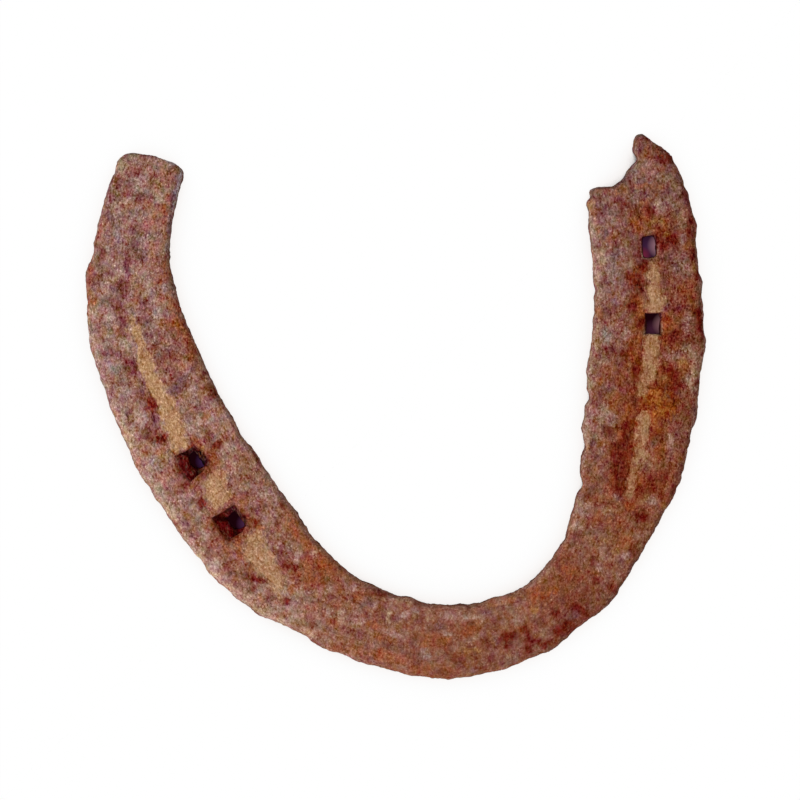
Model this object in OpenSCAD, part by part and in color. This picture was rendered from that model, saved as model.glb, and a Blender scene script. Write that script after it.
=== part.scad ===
// A worn, hand-forged horseshoe with creased branches, nail holes and one broken heel.
// It lies on its hoof side (z = 0), with the ground side up, the toe at -Y and the heels at +Y.
// Places along the bar are millimetres from the toe, negative on the left branch.

/* [Shoe] */
// Width over both branches
shoe_width = 141; // [128:1:156]
// Length from the toe to the longer heel
shoe_length = 124; // [112:1:138]
// Thickness of the bar
bar_thickness = 8; // [6.5:0.5:11]
// Width of the bar at the quarters
web_width = 24; // [21:0.5:27]
// Width of the bar at the toe
toe_width = 16; // [13:0.5:20]
// Bevel worn along the edges of the ground side
ground_bevel = 1; // [0.3:0.1:2]
// Bevel along the edges of the hoof side
hoof_bevel = 0.6; // [0.2:0.1:1.5]
// Rounding of the whole heel's corners
heel_round = 2; // [0.5:0.25:4]

/* [Broken heel] */
// Place along the bar where the inner half of the heel broke off
break_place = 133; // [128:0.5:135]
// Length of the tongue that still stands past the break
tongue_length = 8; // [6:0.5:10]
// Width of the tongue at its root
tongue_width = 12.5; // [11:0.5:15]
// Thickness of the lower sheet of iron, which split from the upper one
sheet_thickness = 3; // [1.5:0.5:5]
// How far the lower sheet stands out past the upper one
sheet_step = 0.6; // [0.2:0.1:1.5]

/* [Creases] */
// Shift of the creases from the middle of the bar towards its outer edge
crease_shift = 0.7; // [-1:0.1:2]
// Widest width of a crease at the ground side
crease_width = 5.4; // [4:0.2:7]
// Depth of the creases
crease_depth = 3.5; // [2:0.25:4.5]
// Width of a crease's floor as a share of its width at the top
floor_share = 0.6; // [0.4:0.05:0.9]
// Toe end of the left crease
left_crease_toe = 33; // [30:0.5:38]
// Heel end of the left crease
left_crease_heel = 106; // [100:0.5:112]
// How far the left crease strays towards the outer edge at its toe end
left_stray = 2; // [0:0.25:3]
// Length over which it strays
stray_length = 7; // [4:0.5:12]
// Toe end of the right crease
right_crease_toe = 59; // [54:0.5:64]
// Heel end of the right crease
right_crease_heel = 112; // [107:0.5:113]

/* [Nail holes] */
// Length of a punched hole along the bar
nail_length = 5.2; // [4:0.1:6]
// Width of a punched hole across the bar
nail_width = 3.7; // [3:0.1:4.2]
// Length of the seat that a nail's head has left around a hole
head_length = 6.8; // [6:0.1:8]
// Width of that seat
head_width = 5.6; // [4.5:0.1:6.5]
// Depth of that seat
head_depth = 4.6; // [3:0.2:5.5]
// How far a seat leans towards the outer edge of the bar
head_lean = 0.6; // [0:0.1:1]
// Place of the left hole nearest the toe
left_first_hole = 54.5; // [51:0.5:58]
// Spacing of the left holes
left_pitch = 16.3; // [14:0.1:18]
// Place of the right hole nearest the toe
right_first_hole = 82; // [78:0.5:85]
// Spacing of the right holes
right_pitch = 17.4; // [15:0.1:18]

/* [Soil, rust and nail stubs] */
// Depth of the soil's face below the ground side
soil_recess = 0.3; // [0:0.1:1.5]
// Gap between a deposit and the walls that it lies between
deposit_gap = 0.05; // [0.02:0.01:0.2]
// Height above the hoof side at which a broken nail ends
stub_recess = 0.8; // [0.2:0.1:2]
// Length of crease that the rust lump fills
lump_length = 8; // [6:0.5:10]
// How far the lump's cap laps past that length, each way
lump_lap = 0.8; // [0.5:0.1:2]
// Width of the rust lump across the bar
lump_width = 8.5; // [7.5:0.5:10]
// Height of the rust lump over the ground side
lump_height = 0.6; // [0.3:0.1:1.5]
// Shift of the rust lump from its hole towards the outer edge
lump_shift = 1.8; // [0:0.2:2.4]

/* [Hidden] */

half_span = (shoe_width - web_width) / 2;
rise = (shoe_length - toe_width) / 2;
ring_step = web_width / 10;
past = bar_thickness / 8; // how far a cutter runs past the face that it opens
bar_end = break_place + tongue_length * 1.2; // where the uncut bar ends, past the tongue

// The middle of the bar, from the left heel by the toe to the right heel: share of half_span,
// share of rise, and share of the way from toe_width to web_width
stations = [
    [-0.93, 1.045, -0.3], [-0.99, 0.87, -0.07], [-1.026, 0.71, 0.07], [-1.036, 0.53, 0.42],
    [-1.012, 0.34, 0.7], [-0.947, 0.13, 0.9], [-0.86, -0.08, 0.98], [-0.748, -0.28, 0.98],
    [-0.615, -0.493, 0.95], [-0.47, -0.68, 0.72], [-0.295, -0.817, 0.2], [-0.07, -0.94, 0.06],
    [0.15, -1, 0.05], [0.37, -0.98, -0.04], [0.572, -0.888, -0.14], [0.733, -0.733, 0.03],
    [0.837, -0.52, 0.25], [0.913, -0.3, 0.8], [0.95, -0.07, 1.04], [0.975, 0.15, 1.16],
    [0.99, 0.38, 1.06], [0.98, 0.6, 0.9], [0.96, 0.8, 0.88], [0.915, 0.97, 0.62], [0.82, 1.18, 0.3]
];
last = len(stations) - 1;
toe_station = 12;

function station(i) = i < 0 ? 2 * stations[0] - stations[1]
    : i > last ? 2 * stations[last] - stations[last - 1] : stations[i];
function curve(a, b, c, d, t) = 0.5 * (2 * b + (c - a) * t + (2 * a - 5 * b + 4 * c - d) * t * t
    + (3 * b - a - 3 * c + d) * t * t * t);
function course(t) = let (i = min(floor(t), last - 1))
    curve(station(i - 1), station(i), station(i + 1), station(i + 2), t - i);

// The same line as points in millimetres, four to a station, and the length run up to each
points = [for (k = [0 : 4 * last]) let (s = course(k / 4)) [half_span * s.x, rise * s.y]];
widths = [for (k = [0 : 4 * last]) toe_width + (web_width - toe_width) * course(k / 4).z];
run = [for (k = 0, r = 0; k <= 4 * last; r = r + (k < 4 * last ? norm(points[k + 1] - points[k]) : 0),
    k = k + 1) r];
places = [for (r = run) r - run[4 * toe_station]];
x_table = [for (k = [0 : 4 * last]) [places[k], points[k].x]];
y_table = [for (k = [0 : 4 * last]) [places[k], points[k].y]];
width_table = [for (k = [0 : 4 * last]) [places[k], widths[k]]];
left_end = places[0];
right_end = places[4 * last];

function middle(place) = [lookup(place, x_table), lookup(place, y_table)];
function held(place) = min(max(place, left_end + ring_step / 2), right_end - ring_step / 2);
function heading(place) =
    let (v = middle(held(place) + ring_step / 2) - middle(held(place) - ring_step / 2)) v / norm(v);
// The spot at a place along the bar and a distance from its middle, positive towards the outer edge;
// past its ends the bar goes on straight
function spot(place, across) = let (h = heading(place), p = min(max(place, left_end), right_end))
    middle(p) + (place - p) * h + across * [h.y, -h.x];
function half_web(place) = let (e = heel_round - (place - left_end))
    lookup(place, width_table) / 2 - (e > 0 ? heel_round - sqrt(heel_round * heel_round - e * e) : 0);

// Width of each crease as a share of crease_width, from its toe end (0) to its heel end (1)
left_widths = [[0, 0.15], [0.05, 0.4], [0.1, 0.64], [0.2, 0.78], [0.25, 0.95], [0.35, 1], [0.5, 1],
    [0.6, 0.93], [0.7, 0.86], [0.75, 0.7], [0.85, 0.58], [0.95, 0.46], [1, 0.25]];
right_widths = [[0, 0.18], [0.08, 0.42], [0.2, 0.4], [0.33, 0.58], [0.5, 0.55], [0.6, 0.72],
    [0.8, 0.7], [0.9, 0.5], [1, 0.25]];

left_holes = [for (i = [0 : 2]) -left_first_hole - i * left_pitch];
right_holes = [for (i = [0 : 2]) right_first_hole + i * right_pitch];
headed_holes = [left_holes[0], left_holes[1]];
soil_top = bar_thickness - soil_recess;
crease_floor = bar_thickness - crease_depth;

// A solid through rings of points, each ring in the same order
module skin(rings) {
    n = len(rings[0]);
    faces = concat(
        [[for (i = [0 : n - 1]) i]],
        [for (r = [0 : len(rings) - 2]) for (i = [0 : n - 1]) let (j = (i + 1) % n)
            each [[r * n + i, (r + 1) * n + i, (r + 1) * n + j], [r * n + i, (r + 1) * n + j, r * n + j]]],
        [[for (i = [n - 1 : -1 : 0]) (len(rings) - 1) * n + i]]
    );
    polyhedron(points = [for (ring = rings) each ring], faces = faces);
}

function ring(place, profile) = [for (p = profile) let (s = spot(place, p.x)) [s.x, s.y, p.y]];

function bar_profile(half) = [
    [half - hoof_bevel, 0], [-half + hoof_bevel, 0], [-half, hoof_bevel],
    [-half, bar_thickness - ground_bevel], [-half + ground_bevel, bar_thickness],
    [half - ground_bevel, bar_thickness], [half, bar_thickness - ground_bevel], [half, hoof_bevel]
];

module bar() {
    heel_places = [for (a = [0 : 22.5 : 67.5]) left_end + heel_round * (1 - cos(a))];
    bar_length = bar_end - left_end - heel_round;
    bar_rings = ceil(bar_length / ring_step);
    bar_places = [for (i = [0 : bar_rings]) left_end + heel_round + bar_length * i / bar_rings];
    skin([for (p = concat(heel_places, bar_places)) ring(p, bar_profile(half_web(p)))]);
}

// Half width of a crease at a place and a height
function crease_half(place, z, toe, heel, table) =
    let (top = crease_width / 2 * lookup((abs(place) - toe) / (heel - toe), table))
    top * (floor_share + (1 - floor_share) * (z - crease_floor) / crease_depth);

// Distance of a crease's middle from the middle of the bar
function crease_across(place) =
    crease_shift + left_stray * max(0, 1 - abs(place + left_crease_toe) / stray_length);

// Places for rings from one place to another, which lie on one grid so that a crease and its fill match
function ring_places(from, to) = concat([from],
    [for (k = [ceil(from / ring_step + 0.1) : floor(to / ring_step - 0.1)]) k * ring_step], [to]);

// A length of crease between two places and two heights, narrowed by a gap on each side
module crease_length(from, to, low, high, gap, toe, heel, table) {
    skin([for (p = ring_places(from, to)) let (c = crease_across(p),
        a = crease_half(p, low, toe, heel, table) - gap, b = crease_half(p, high, toe, heel, table) - gap)
        ring(p, [[c + a, low], [c - a, low], [c - b, high], [c + b, high]])]);
}

module left_crease(from, to, low, high, gap) {
    crease_length(-to, -from, low, high, gap, left_crease_toe, left_crease_heel, left_widths);
}

module right_crease(from, to, low, high, gap) {
    crease_length(from, to, low, high, gap, right_crease_toe, right_crease_heel, right_widths);
}

// Turns its children to lie along the bar at a place
module at_place(place, across) {
    s = spot(place, across);
    h = heading(place);
    translate([s.x, s.y, 0]) rotate(atan2(h.y, h.x)) children();
}

module nail_shaft(place, low, high, gap) {
    at_place(place, crease_across(place))
        translate([-nail_length / 2 + gap, -nail_width / 2 + gap, low])
            cube([nail_length - 2 * gap, nail_width - 2 * gap, high - low]);
}

module nail_seat(place) {
    at_place(place, crease_across(place)) polyhedron(
        points = concat(seat_ring(nail_length, nail_width, 0, bar_thickness - head_depth),
            seat_ring(head_length, head_width, -head_lean, bar_thickness + past)),
        faces = [[0, 3, 2, 1], [4, 5, 6, 7], [0, 1, 5, 4], [1, 2, 6, 5], [2, 3, 7, 6], [3, 0, 4, 7]]
    );
}

function seat_ring(length, width, shift, z) =
    [for (c = [[-1, -1], [-1, 1], [1, 1], [1, -1]]) [c.x * length / 2, c.y * width / 2 + shift, z]];

// Outline of what broke off the right heel, from the inner edge round the tongue to past the end.
// Across the notch and the tongue it is in shares of their widths, and along in shares of the tongue
module break_outline(retreat) {
    root = break_place + retreat;
    edge = half_web(break_place);
    notch = 2 * edge - tongue_width;
    clear = edge * 1.4;
    notch_line = [[-0.06, 0.16], [0.06, 0.27], [0, 0.48], [-0.09, 0.73], [0, 1]];
    tongue_line = [[0.19, 0.12], [0.31, 0.35], [0.62, 0.38], [0.87, 0.5], [1, 0.57], [0.94, 0.69],
        [0.62, 0.77], [0.19, 0.94]];
    polygon(concat(
        [spot(root + notch_line[0].x * tongue_length, -clear)],
        [for (p = notch_line) spot(root + p.x * tongue_length, -edge + p.y * notch)],
        [for (p = tongue_line) spot(root + p.x * tongue_length, edge - (1 - p.y) * tongue_width)],
        [spot(root - tongue_length / 8, clear), spot(bar_end + retreat + past, clear),
            spot(bar_end + retreat + past, -clear)]
    ));
}

module shoe() {
    color("sienna") difference() {
        bar();
        translate([0, 0, sheet_thickness])
            linear_extrude(bar_thickness) break_outline(0);
        translate([0, 0, -past])
            linear_extrude(sheet_thickness + 2 * past) break_outline(sheet_step);
        left_crease(left_crease_toe, left_crease_heel, crease_floor, bar_thickness + past, 0);
        right_crease(right_crease_toe, right_crease_heel, crease_floor, bar_thickness + past, 0);
        for (p = concat(left_holes, right_holes)) nail_shaft(p, -past, bar_thickness + past, 0);
        for (p = headed_holes) nail_seat(p);
    }
}

module soil_left_upper() {
    color("tan") left_crease(left_first_hole + left_pitch + head_length / 2 + deposit_gap,
        left_crease_heel - deposit_gap, crease_floor, soil_top, deposit_gap);
}

module soil_left_middle() {
    color("tan") left_crease(left_first_hole + head_length / 2 + deposit_gap,
        left_first_hole + left_pitch - head_length / 2 - deposit_gap, crease_floor, soil_top, deposit_gap);
}

module soil_left_lower() {
    color("tan") left_crease(left_crease_toe + deposit_gap,
        left_first_hole - head_length / 2 - deposit_gap, crease_floor, soil_top, deposit_gap);
}

module soil_right_upper() {
    color("tan") right_crease(right_holes[1] + nail_length / 2 + deposit_gap,
        right_crease_heel - deposit_gap, crease_floor, soil_top, deposit_gap);
}

module soil_right_middle() {
    color("tan") right_crease(right_holes[0] + lump_length / 2 + deposit_gap,
        right_holes[1] - nail_length / 2 - deposit_gap, crease_floor, soil_top, deposit_gap);
}

module soil_right_lower() {
    color("tan") right_crease(right_crease_toe + deposit_gap,
        right_holes[0] - lump_length / 2 - deposit_gap, crease_floor, soil_top, deposit_gap);
}

module rust_lump_right() {
    color("chocolate") union() {
        right_crease(right_holes[0] - lump_length / 2, right_holes[0] + lump_length / 2,
            crease_floor, bar_thickness + lump_height / 4, deposit_gap);
        at_place(right_holes[0], crease_across(right_holes[0]) + lump_shift)
            translate([0, 0, bar_thickness])
                linear_extrude(lump_height, scale = 0.6)
                    scale([lump_length + 2 * lump_lap, lump_width]) circle(d = 1, $fn = 16);
    }
}

module nail_stub_left() {
    color("saddlebrown") nail_shaft(left_holes[2], stub_recess, crease_floor, deposit_gap);
}

module nail_stub_right() {
    color("saddlebrown") nail_shaft(right_holes[0], stub_recess, crease_floor, deposit_gap);
}

shoe();
soil_left_upper();
soil_left_middle();
soil_left_lower();
soil_right_upper();
soil_right_middle();
soil_right_lower();
rust_lump_right();
nail_stub_left();
nail_stub_right();
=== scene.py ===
import math
import bmesh
import bpy
import numpy as np
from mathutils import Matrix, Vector, noise


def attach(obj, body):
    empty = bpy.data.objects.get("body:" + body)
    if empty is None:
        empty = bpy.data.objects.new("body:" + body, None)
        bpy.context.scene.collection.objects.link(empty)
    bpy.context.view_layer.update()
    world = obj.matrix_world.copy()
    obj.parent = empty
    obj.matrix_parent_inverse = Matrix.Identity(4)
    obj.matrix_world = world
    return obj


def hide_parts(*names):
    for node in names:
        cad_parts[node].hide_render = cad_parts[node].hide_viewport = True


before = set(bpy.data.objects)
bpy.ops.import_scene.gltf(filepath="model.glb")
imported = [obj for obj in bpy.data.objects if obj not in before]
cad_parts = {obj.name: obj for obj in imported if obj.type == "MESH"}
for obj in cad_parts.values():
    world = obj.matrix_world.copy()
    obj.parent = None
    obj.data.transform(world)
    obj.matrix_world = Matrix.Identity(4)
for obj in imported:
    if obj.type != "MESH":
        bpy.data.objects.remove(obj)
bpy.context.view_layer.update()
mm = 0.001

# the bar's middle line, as in the construction: each station holds its share of half the span, of the rise
# and of the widening
bar = {
    "halfSpan": 58.5,
    "rise": 54.0,
    "narrow": 16.0,
    "wide": 24.0,
    "toeStation": 12,
    "stations": [
        [-0.93, 1.045, -0.3], [-0.99, 0.87, -0.07], [-1.026, 0.71, 0.07], [-1.036, 0.53, 0.42],
        [-1.012, 0.34, 0.7], [-0.947, 0.13, 0.9], [-0.86, -0.08, 0.98], [-0.748, -0.28, 0.98],
        [-0.615, -0.493, 0.95], [-0.47, -0.68, 0.72], [-0.295, -0.817, 0.2], [-0.07, -0.94, 0.06],
        [0.15, -1, 0.05], [0.37, -0.98, -0.04], [0.572, -0.888, -0.14], [0.733, -0.733, 0.03],
        [0.837, -0.52, 0.25], [0.913, -0.3, 0.8], [0.95, -0.07, 1.04], [0.975, 0.15, 1.16],
        [0.99, 0.38, 1.06], [0.98, 0.6, 0.9], [0.96, 0.8, 0.88], [0.915, 0.97, 0.62], [0.82, 1.18, 0.3],
    ],
}


def barSamples(perSpan=12):
    knots = np.array(bar["stations"])
    middle = bar["toeStation"] * perSpan
    knots = np.vstack([2 * knots[0] - knots[1], knots, 2 * knots[-1] - knots[-2]])
    samples = []
    for i in range(1, len(knots) - 2):
        a, b, c, d = knots[i - 1:i + 3]
        for k in range(perSpan):
            t = k / perSpan
            samples.append(0.5 * (2 * b + (c - a) * t + (2 * a - 5 * b + 4 * c - d) * t ** 2
                                  + (3 * b - a - 3 * c + d) * t ** 3))
    samples.append(knots[-2])
    samples = np.array(samples)
    line = samples[:, :2] * [bar["halfSpan"], bar["rise"]]
    half = (bar["narrow"] + (bar["wide"] - bar["narrow"]) * samples[:, 2]) / 2
    run = np.concatenate([[0], np.cumsum(np.linalg.norm(np.diff(line, axis=0), axis=1))])
    return line, half, run - run[middle]


def barCoordinates(spots):
    # place along the bar from the toe, distance out from its middle, half its width and the way out, in mm
    line, half, run = barSamples()
    heading = np.gradient(line, axis=0)
    heading /= np.linalg.norm(heading, axis=1)[:, None]
    out = np.stack([heading[:, 1], -heading[:, 0]], 1)
    near = np.zeros(len(spots), int)
    batch = 20000  # points at a time, to spare memory
    for start in range(0, len(spots), batch):
        part = spots[start:start + batch, :2] / mm
        near[start:start + batch] = ((part[:, None, :] - line[None, :, :]) ** 2).sum(2).argmin(1)
    offset = spots[:, :2] / mm - line[near]
    along = run[near] + (offset * heading[near]).sum(1)
    return along, (offset * out[near]).sum(1), half[near], out[near]


def smoothStep(low, high, value):
    t = np.clip((value - low) / (high - low), 0, 1)
    return t * t * (3 - 2 * t)


def byHeight(spots, low, high):
    # 0 below one height and 1 above another, in mm
    return smoothStep(low * mm, high * mm, spots[:, 2])


def grain(spots, size, seed, detail=1):
    # smooth noise between about -1 and 1, with features of the given size in mm
    shift = Vector((seed * 7.31, seed * 3.17, seed * 11.9))
    scale = 1 / (size * mm)
    if detail == 1:
        return np.array([noise.noise(Vector(s) * scale + shift) for s in spots])
    return np.array([noise.fractal(Vector(s) * scale + shift, 0.8, 2.0, detail) for s in spots])


def drift(spots, size, seed, detail):
    # noise in x and in y, from a seed and the one after it
    return np.stack([grain(spots, size, seed, detail), grain(spots, size, seed + 1, detail)], 1)


def openMesh(mesh):
    work = bmesh.new()
    work.from_mesh(mesh)
    return work


def closeMesh(work, mesh):
    work.to_mesh(mesh)
    work.free()


def relax(work, verts, turns):
    axes = {"use_axis_x": True, "use_axis_y": True, "use_axis_z": True}
    for turn in range(turns):
        bmesh.ops.smooth_vert(work, verts=verts, factor=0.5, **axes)


def denseCopy(node, name, voxel, smoothing):
    # the CAD node as one closed skin of small even faces
    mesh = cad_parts[node].data.copy()
    work = openMesh(mesh)
    bmesh.ops.remove_doubles(work, verts=work.verts, dist=1e-6)
    closeMesh(work, mesh)
    piece = bpy.data.objects.new(name, mesh)
    bpy.context.scene.collection.objects.link(piece)
    grid = piece.modifiers.new("grid", "REMESH")
    grid.mode = "VOXEL"
    grid.voxel_size = voxel * 1
    view = bpy.context.evaluated_depsgraph_get()
    piece.data = bpy.data.meshes.new_from_object(piece.evaluated_get(view))
    piece.modifiers.clear()
    piece.data.materials.clear()
    work = openMesh(piece.data)
    relax(work, work.verts, smoothing)
    closeMesh(work, piece.data)
    piece.data.shade_smooth()
    return piece


def readPoints(mesh):
    spots = np.zeros(len(mesh.vertices) * 3, np.float32)
    mesh.vertices.foreach_get("co", spots)
    normals = np.zeros(len(mesh.vertices) * 3, np.float32)
    mesh.vertex_normals.foreach_get("vector", normals)
    return spots.reshape(-1, 3).astype(float), normals.reshape(-1, 3).astype(float)


def writePoints(mesh, spots):
    mesh.vertices.foreach_set("co", spots.astype(np.float32).ravel())
    mesh.update()


def storeField(mesh, name, values):
    field = mesh.attributes.new(name, "FLOAT", "POINT")
    field.data.foreach_set("value", values.astype(np.float32))


def storeColor(mesh, name, colors, strength):
    field = mesh.attributes.new(name, "FLOAT_COLOR", "POINT")
    field.data.foreach_set("color", np.column_stack([colors, strength]).astype(np.float32).ravel())


def linear(*levels):
    # scene colour from 0 to 255 display levels
    part = np.array(levels, float) / 255
    return np.where(part <= 0.04045, part / 12.92, ((part + 0.055) / 1.055) ** 2.4)


# the iron's shape: lengths in mm unless they carry the unit
iron = {
    "voxel": 0.45 * mm,
    "smoothing": 1,
    "crownOuter": 0.25,  # fall of the face at the outer edge
    "crownInner": 0.05,
    "crownReach": 1.4,
    "innerGrowth": 0.38,
    "outerGrowth": -0.3,
    "edgeReach": 5,  # how far in from an edge its wear and bumps are felt
    "waves": 0.14,  # this and the next four are strengths of noise
    "pits": 0.12,
    "grit": 0.07,
    "fibre": 0.08,
    "blisters": 0.09,
    "edgeWear": 0.22,
    # place along the bar, outward move in mm, reach along the bar
    "outerBumps": [
        [-135, 0.45, 4], [-126, -0.1, 4], [-120.5, -0.6, 1.6], [-117, 0.55, 2], [-111, -0.25, 2],
        [-103, 0.35, 2], [-94, -0.25, 1.5], [-75, 0.55, 3.5], [-69, 0.5, 2.5], [-62, 0.5, 4], [-56, 0.3, 3],
        [-48.5, 0.7, 2.5], [-42, 0.3, 2], [-36, 0.5, 2], [-22, 1.0, 4], [-14, 0.5, 3], [-1, -0.2, 2],
        [3.5, 0.2, 1.5], [9, -0.2, 2], [18, -0.2, 2.5], [24, 0.4, 2], [31, -0.75, 4], [38.5, 0.3, 1.5],
        [42, -0.2, 1.5], [60, -0.25, 3], [67.5, 0.25, 1.5], [80, 0.55, 2.5], [96, 0.75, 2.5],
        [102, 0.25, 3], [108, 0.4, 1.5], [120, 0.35, 2.2], [128, 0.15, 3],
    ],
    "innerBumps": [
        [-138, -0.1, 5], [-128, 0.2, 4], [-119, -0.25, 3], [-86, -0.2, 8], [-70, -0.4, 3], [-64, 0.2, 2],
        [-61.5, -0.3, 1.3], [-54, -0.3, 1], [-47, 0.35, 2], [-42, 0.3, 1], [-34, 0.35, 2], [-23, -0.35, 4],
        [-8, 0.5, 2.5], [1, 0.2, 4], [6, 0.3, 2], [17, 0.6, 4], [34, 0.2, 5], [45.5, -0.55, 2],
        [59, -0.95, 2], [69, -0.65, 1.8], [74, 0.5, 1.5], [81, -0.85, 1.4], [88, 0.5, 2.5],
        [108, -0.35, 1.3], [111, 0.35, 3], [117, 0.45, 3], [124, 0.4, 4],
    ],
    # corners drawn out or in: x, y, move in x and y, reach
    "corners": [
        [-62.5, 56, -0.8, 0, 2.2], [-58.6, 57.8, 0.1, -0.6, 2.6], [-54.5, 56.3, 0.1, 0.25, 2.3],
        [-50, 54.8, 0.1, 0.1, 2], [-60.2, 57.8, 0, -0.2, 1.4], [-65.5, 48.5, 0.25, 0, 3],
        [43.3, 45.8, -0.6, 0, 1], [43.8, 47.6, 0.9, 0, 0.8], [44.6, 49, -0.8, 0.5, 0.9],
        [45.6, 49.5, 0, 0.2, 1], [49, 50.3, 0, -0.25, 1.3], [51.8, 53, 0.2, -0.15, 1.8],
        [54.1, 56.2, 0.5, 0, 0.9], [53.3, 58.7, -0.25, 0, 0.9], [55, 61.5, 0.4, 0, 1],
        [56, 62.2, 0, -0.3, 1.5], [61, 58.6, 0.3, 0.3, 1.6], [65.2, 50.5, -0.1, 0, 3],
        [68, 41.5, 0.15, 0, 2],
    ],
    "holeCorners": [
        [-41, -14.2, -1.4, 0.9, 1.7], [-48.6, -12.5, 0.2, 0.7, 1.5], [-44.8, -17.4, 0.1, 0.1, 1.5],
        [-32.4, -27.6, -1.0, 0.5, 1.6], [-39.8, -25.2, -1.1, 0, 1.5], [-36, -30.3, -1.0, 0, 1.5],
    ],
    "softReach": 4.6,  # the holes' corners are softened this near to their middles, above the hoof side
    "softFrom": 0.3,
    "softTurns": 7,
    "holeReach": 3.4,
    "coreReach": 2.05,  # the depth of a leaning hole is tucked in to this, round a core off its middle
    "coreShift": [0.85, 0.9],
    "coreFade": [4.2, 6],
    "stainShift": [0.85, 0.95],
    # x and y, share of the width and length that the hole keeps, lean of its depth in x and y, slope and wear
    # at its lip, narrowing of its depth
    "holeFits": [
        [-45.6, -13, 0.96, 0.96, 1, 1, 0.5, 0.4, 1], [-36.6, -26.8, 0.96, 0.96, 1, 1, 0.5, 0.4, 1],
        [57.5, 36, 0.78, 0.94, 0, 0, 0.1, 0.15, 0], [58.5, 18.7, 0.86, 1.18, 0, 0, 0.1, 0.15, 0],
    ],
    # x and y of the nail holes, with the reach of the dark colour and painted shade down them
    "holes": [
        [-45.6, -13.0, 4.8, "redHole"], [-36.6, -26.8, 5, "redHole"],
        [57.0, 36.5, 3.4, "darkHole"], [58.4, 18.9, 3.4, "darkHole"],
    ],
}


def bumps(rows, along):
    move = np.zeros(len(along))
    for place, amount, reach in rows:
        move += amount * np.exp(-((along - place) / reach) ** 2)
    return move


def shiftPlaces(spots, rows):
    for x, y, moveX, moveY, reach in rows:
        pull = np.exp(-((spots[:, :2] / mm - [x, y]) ** 2).sum(1) / reach ** 2)
        spots[:, :2] += pull[:, None] * np.array([moveX, moveY]) * mm
    return spots


def fitHoles(spots):
    # sizes each hole, leans and narrows its depth, and wears its lip
    wear = drift(spots * [1, 1, 0.4], 1.7, 12, 2)
    for x, y, wide, long, leanX, leanY, slope, ragged, narrow in iron["holeFits"]:
        offset = spots[:, :2] / mm - [x, y]
        away = np.linalg.norm(offset, axis=1)
        pull = np.exp(-(away / iron["holeReach"]) ** 4)
        lower = (1 - byHeight(spots, 5.5, 7.7)) * byHeight(spots, 0, 2.5)
        near = 0.5 - 0.5 * offset @ [0.25, 0.25]
        lip = (1 - smoothStep(2.5, 4.5, away)) * byHeight(spots, 5, 7.5)
        spots[:, 2] -= slope * lip * mm
        spots[:, :2] += (offset * [wide - 1, long - 1] + ragged * wear) * pull[:, None] * mm
        spots[:, :2] += (lower * pull * np.clip(near, 0, 1.3))[:, None] * np.array([leanX, leanY]) * mm
        core = spots[:, :2] / mm - [x + iron["coreShift"][0], y + iron["coreShift"][1]]
        gap = np.linalg.norm(core, axis=1)
        fade = 1 - smoothStep(*iron["coreFade"], gap)
        tuck = np.maximum(gap - iron["coreReach"], 0) * 0.9 * fade * lower * narrow
        spots[:, :2] -= core * (tuck / np.maximum(gap, 0.1))[:, None] * mm
    return spots


def softenHoles(mesh):
    work = openMesh(mesh)
    chosen = []
    for vert in work.verts:
        gap = min(math.hypot(vert.co.x / mm - x, vert.co.y / mm - y) for x, y, *rest in iron["holes"])
        if gap < iron["softReach"] and vert.co.z > iron["softFrom"] * mm:
            chosen.append(vert)
    relax(work, chosen, iron["softTurns"])
    closeMesh(work, mesh)


def makeIron():
    piece = denseCopy("shoe", "ironShoe", iron["voxel"], iron["smoothing"])
    mesh = piece.data
    softenHoles(mesh)
    spots, normals = readPoints(mesh)
    along, across, half, out = barCoordinates(spots)
    rim = half - np.abs(across)
    side = np.where(across > 0, iron["outerGrowth"] + bumps(iron["outerBumps"], along),
                    -iron["innerGrowth"] - bumps(iron["innerBumps"], along))
    side += np.sign(across) * iron["edgeWear"] * grain(spots * [1, 1, 0.5], 2.2, 11, 3)
    near = 1 - smoothStep(0, iron["edgeReach"], rim)
    spots[:, :2] += out * (side * near * mm)[:, None]
    spots = fitHoles(shiftPlaces(spots, iron["corners"] + iron["holeCorners"]))
    top = byHeight(spots, 5.5, 7.5)
    fall = (1 - smoothStep(0, iron["crownReach"], rim)) ** 2
    spots[:, 2] -= top * fall * np.where(across > 0, iron["crownOuter"], iron["crownInner"]) * mm
    barSpots = np.stack([along * 0.15, across, spots[:, 2] / mm], 1) * mm
    blister = smoothStep(0.05, 0.3, grain(spots, 3.4, 5, 2)) - 0.4
    push = iron["waves"] * grain(spots, 9, 1) + iron["pits"] * grain(spots, 2.4, 2, 3)
    push += iron["blisters"] * blister
    push += iron["grit"] * grain(spots, 1.0, 3, 2) + iron["fibre"] * grain(barSpots, 0.7, 4, 2)
    push = np.where(spots[:, 2] < 0.4 * mm, np.minimum(push, 0), push) * mm
    spots = spots + normals * push[:, None]
    spots[:, 2] = np.maximum(spots[:, 2], 0)
    writePoints(mesh, spots)
    paintFace(mesh, spots, normals)
    print("iron", len(mesh.vertices), "vertices")
    return piece


# display colours of the kinds of rust, and of the painted shade, shadow and rim light laid like them
rust = {
    "maroon": (102, 26, 12),
    "wine": (110, 50, 48),
    "violet": (108, 68, 72),
    "burnt": (124, 50, 16),
    "orange": (148, 76, 38),
    "ochre": (156, 106, 62),
    "stain": (134, 66, 34),
    "brown": (112, 60, 38),
    "pale": (172, 138, 126),
    "cream": (180, 146, 122),
    "slate": (148, 124, 116),
    "pink": (166, 104, 82),
    "powder": (138, 110, 102),
    "worn": (184, 128, 100),
    "haze": (180, 166, 168),
    "redHole": (100, 10, 9),
    "rimHole": (122, 58, 36),
    "blackHole": (28, 4, 10),
    "darkHole": (76, 20, 26),
}
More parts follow.
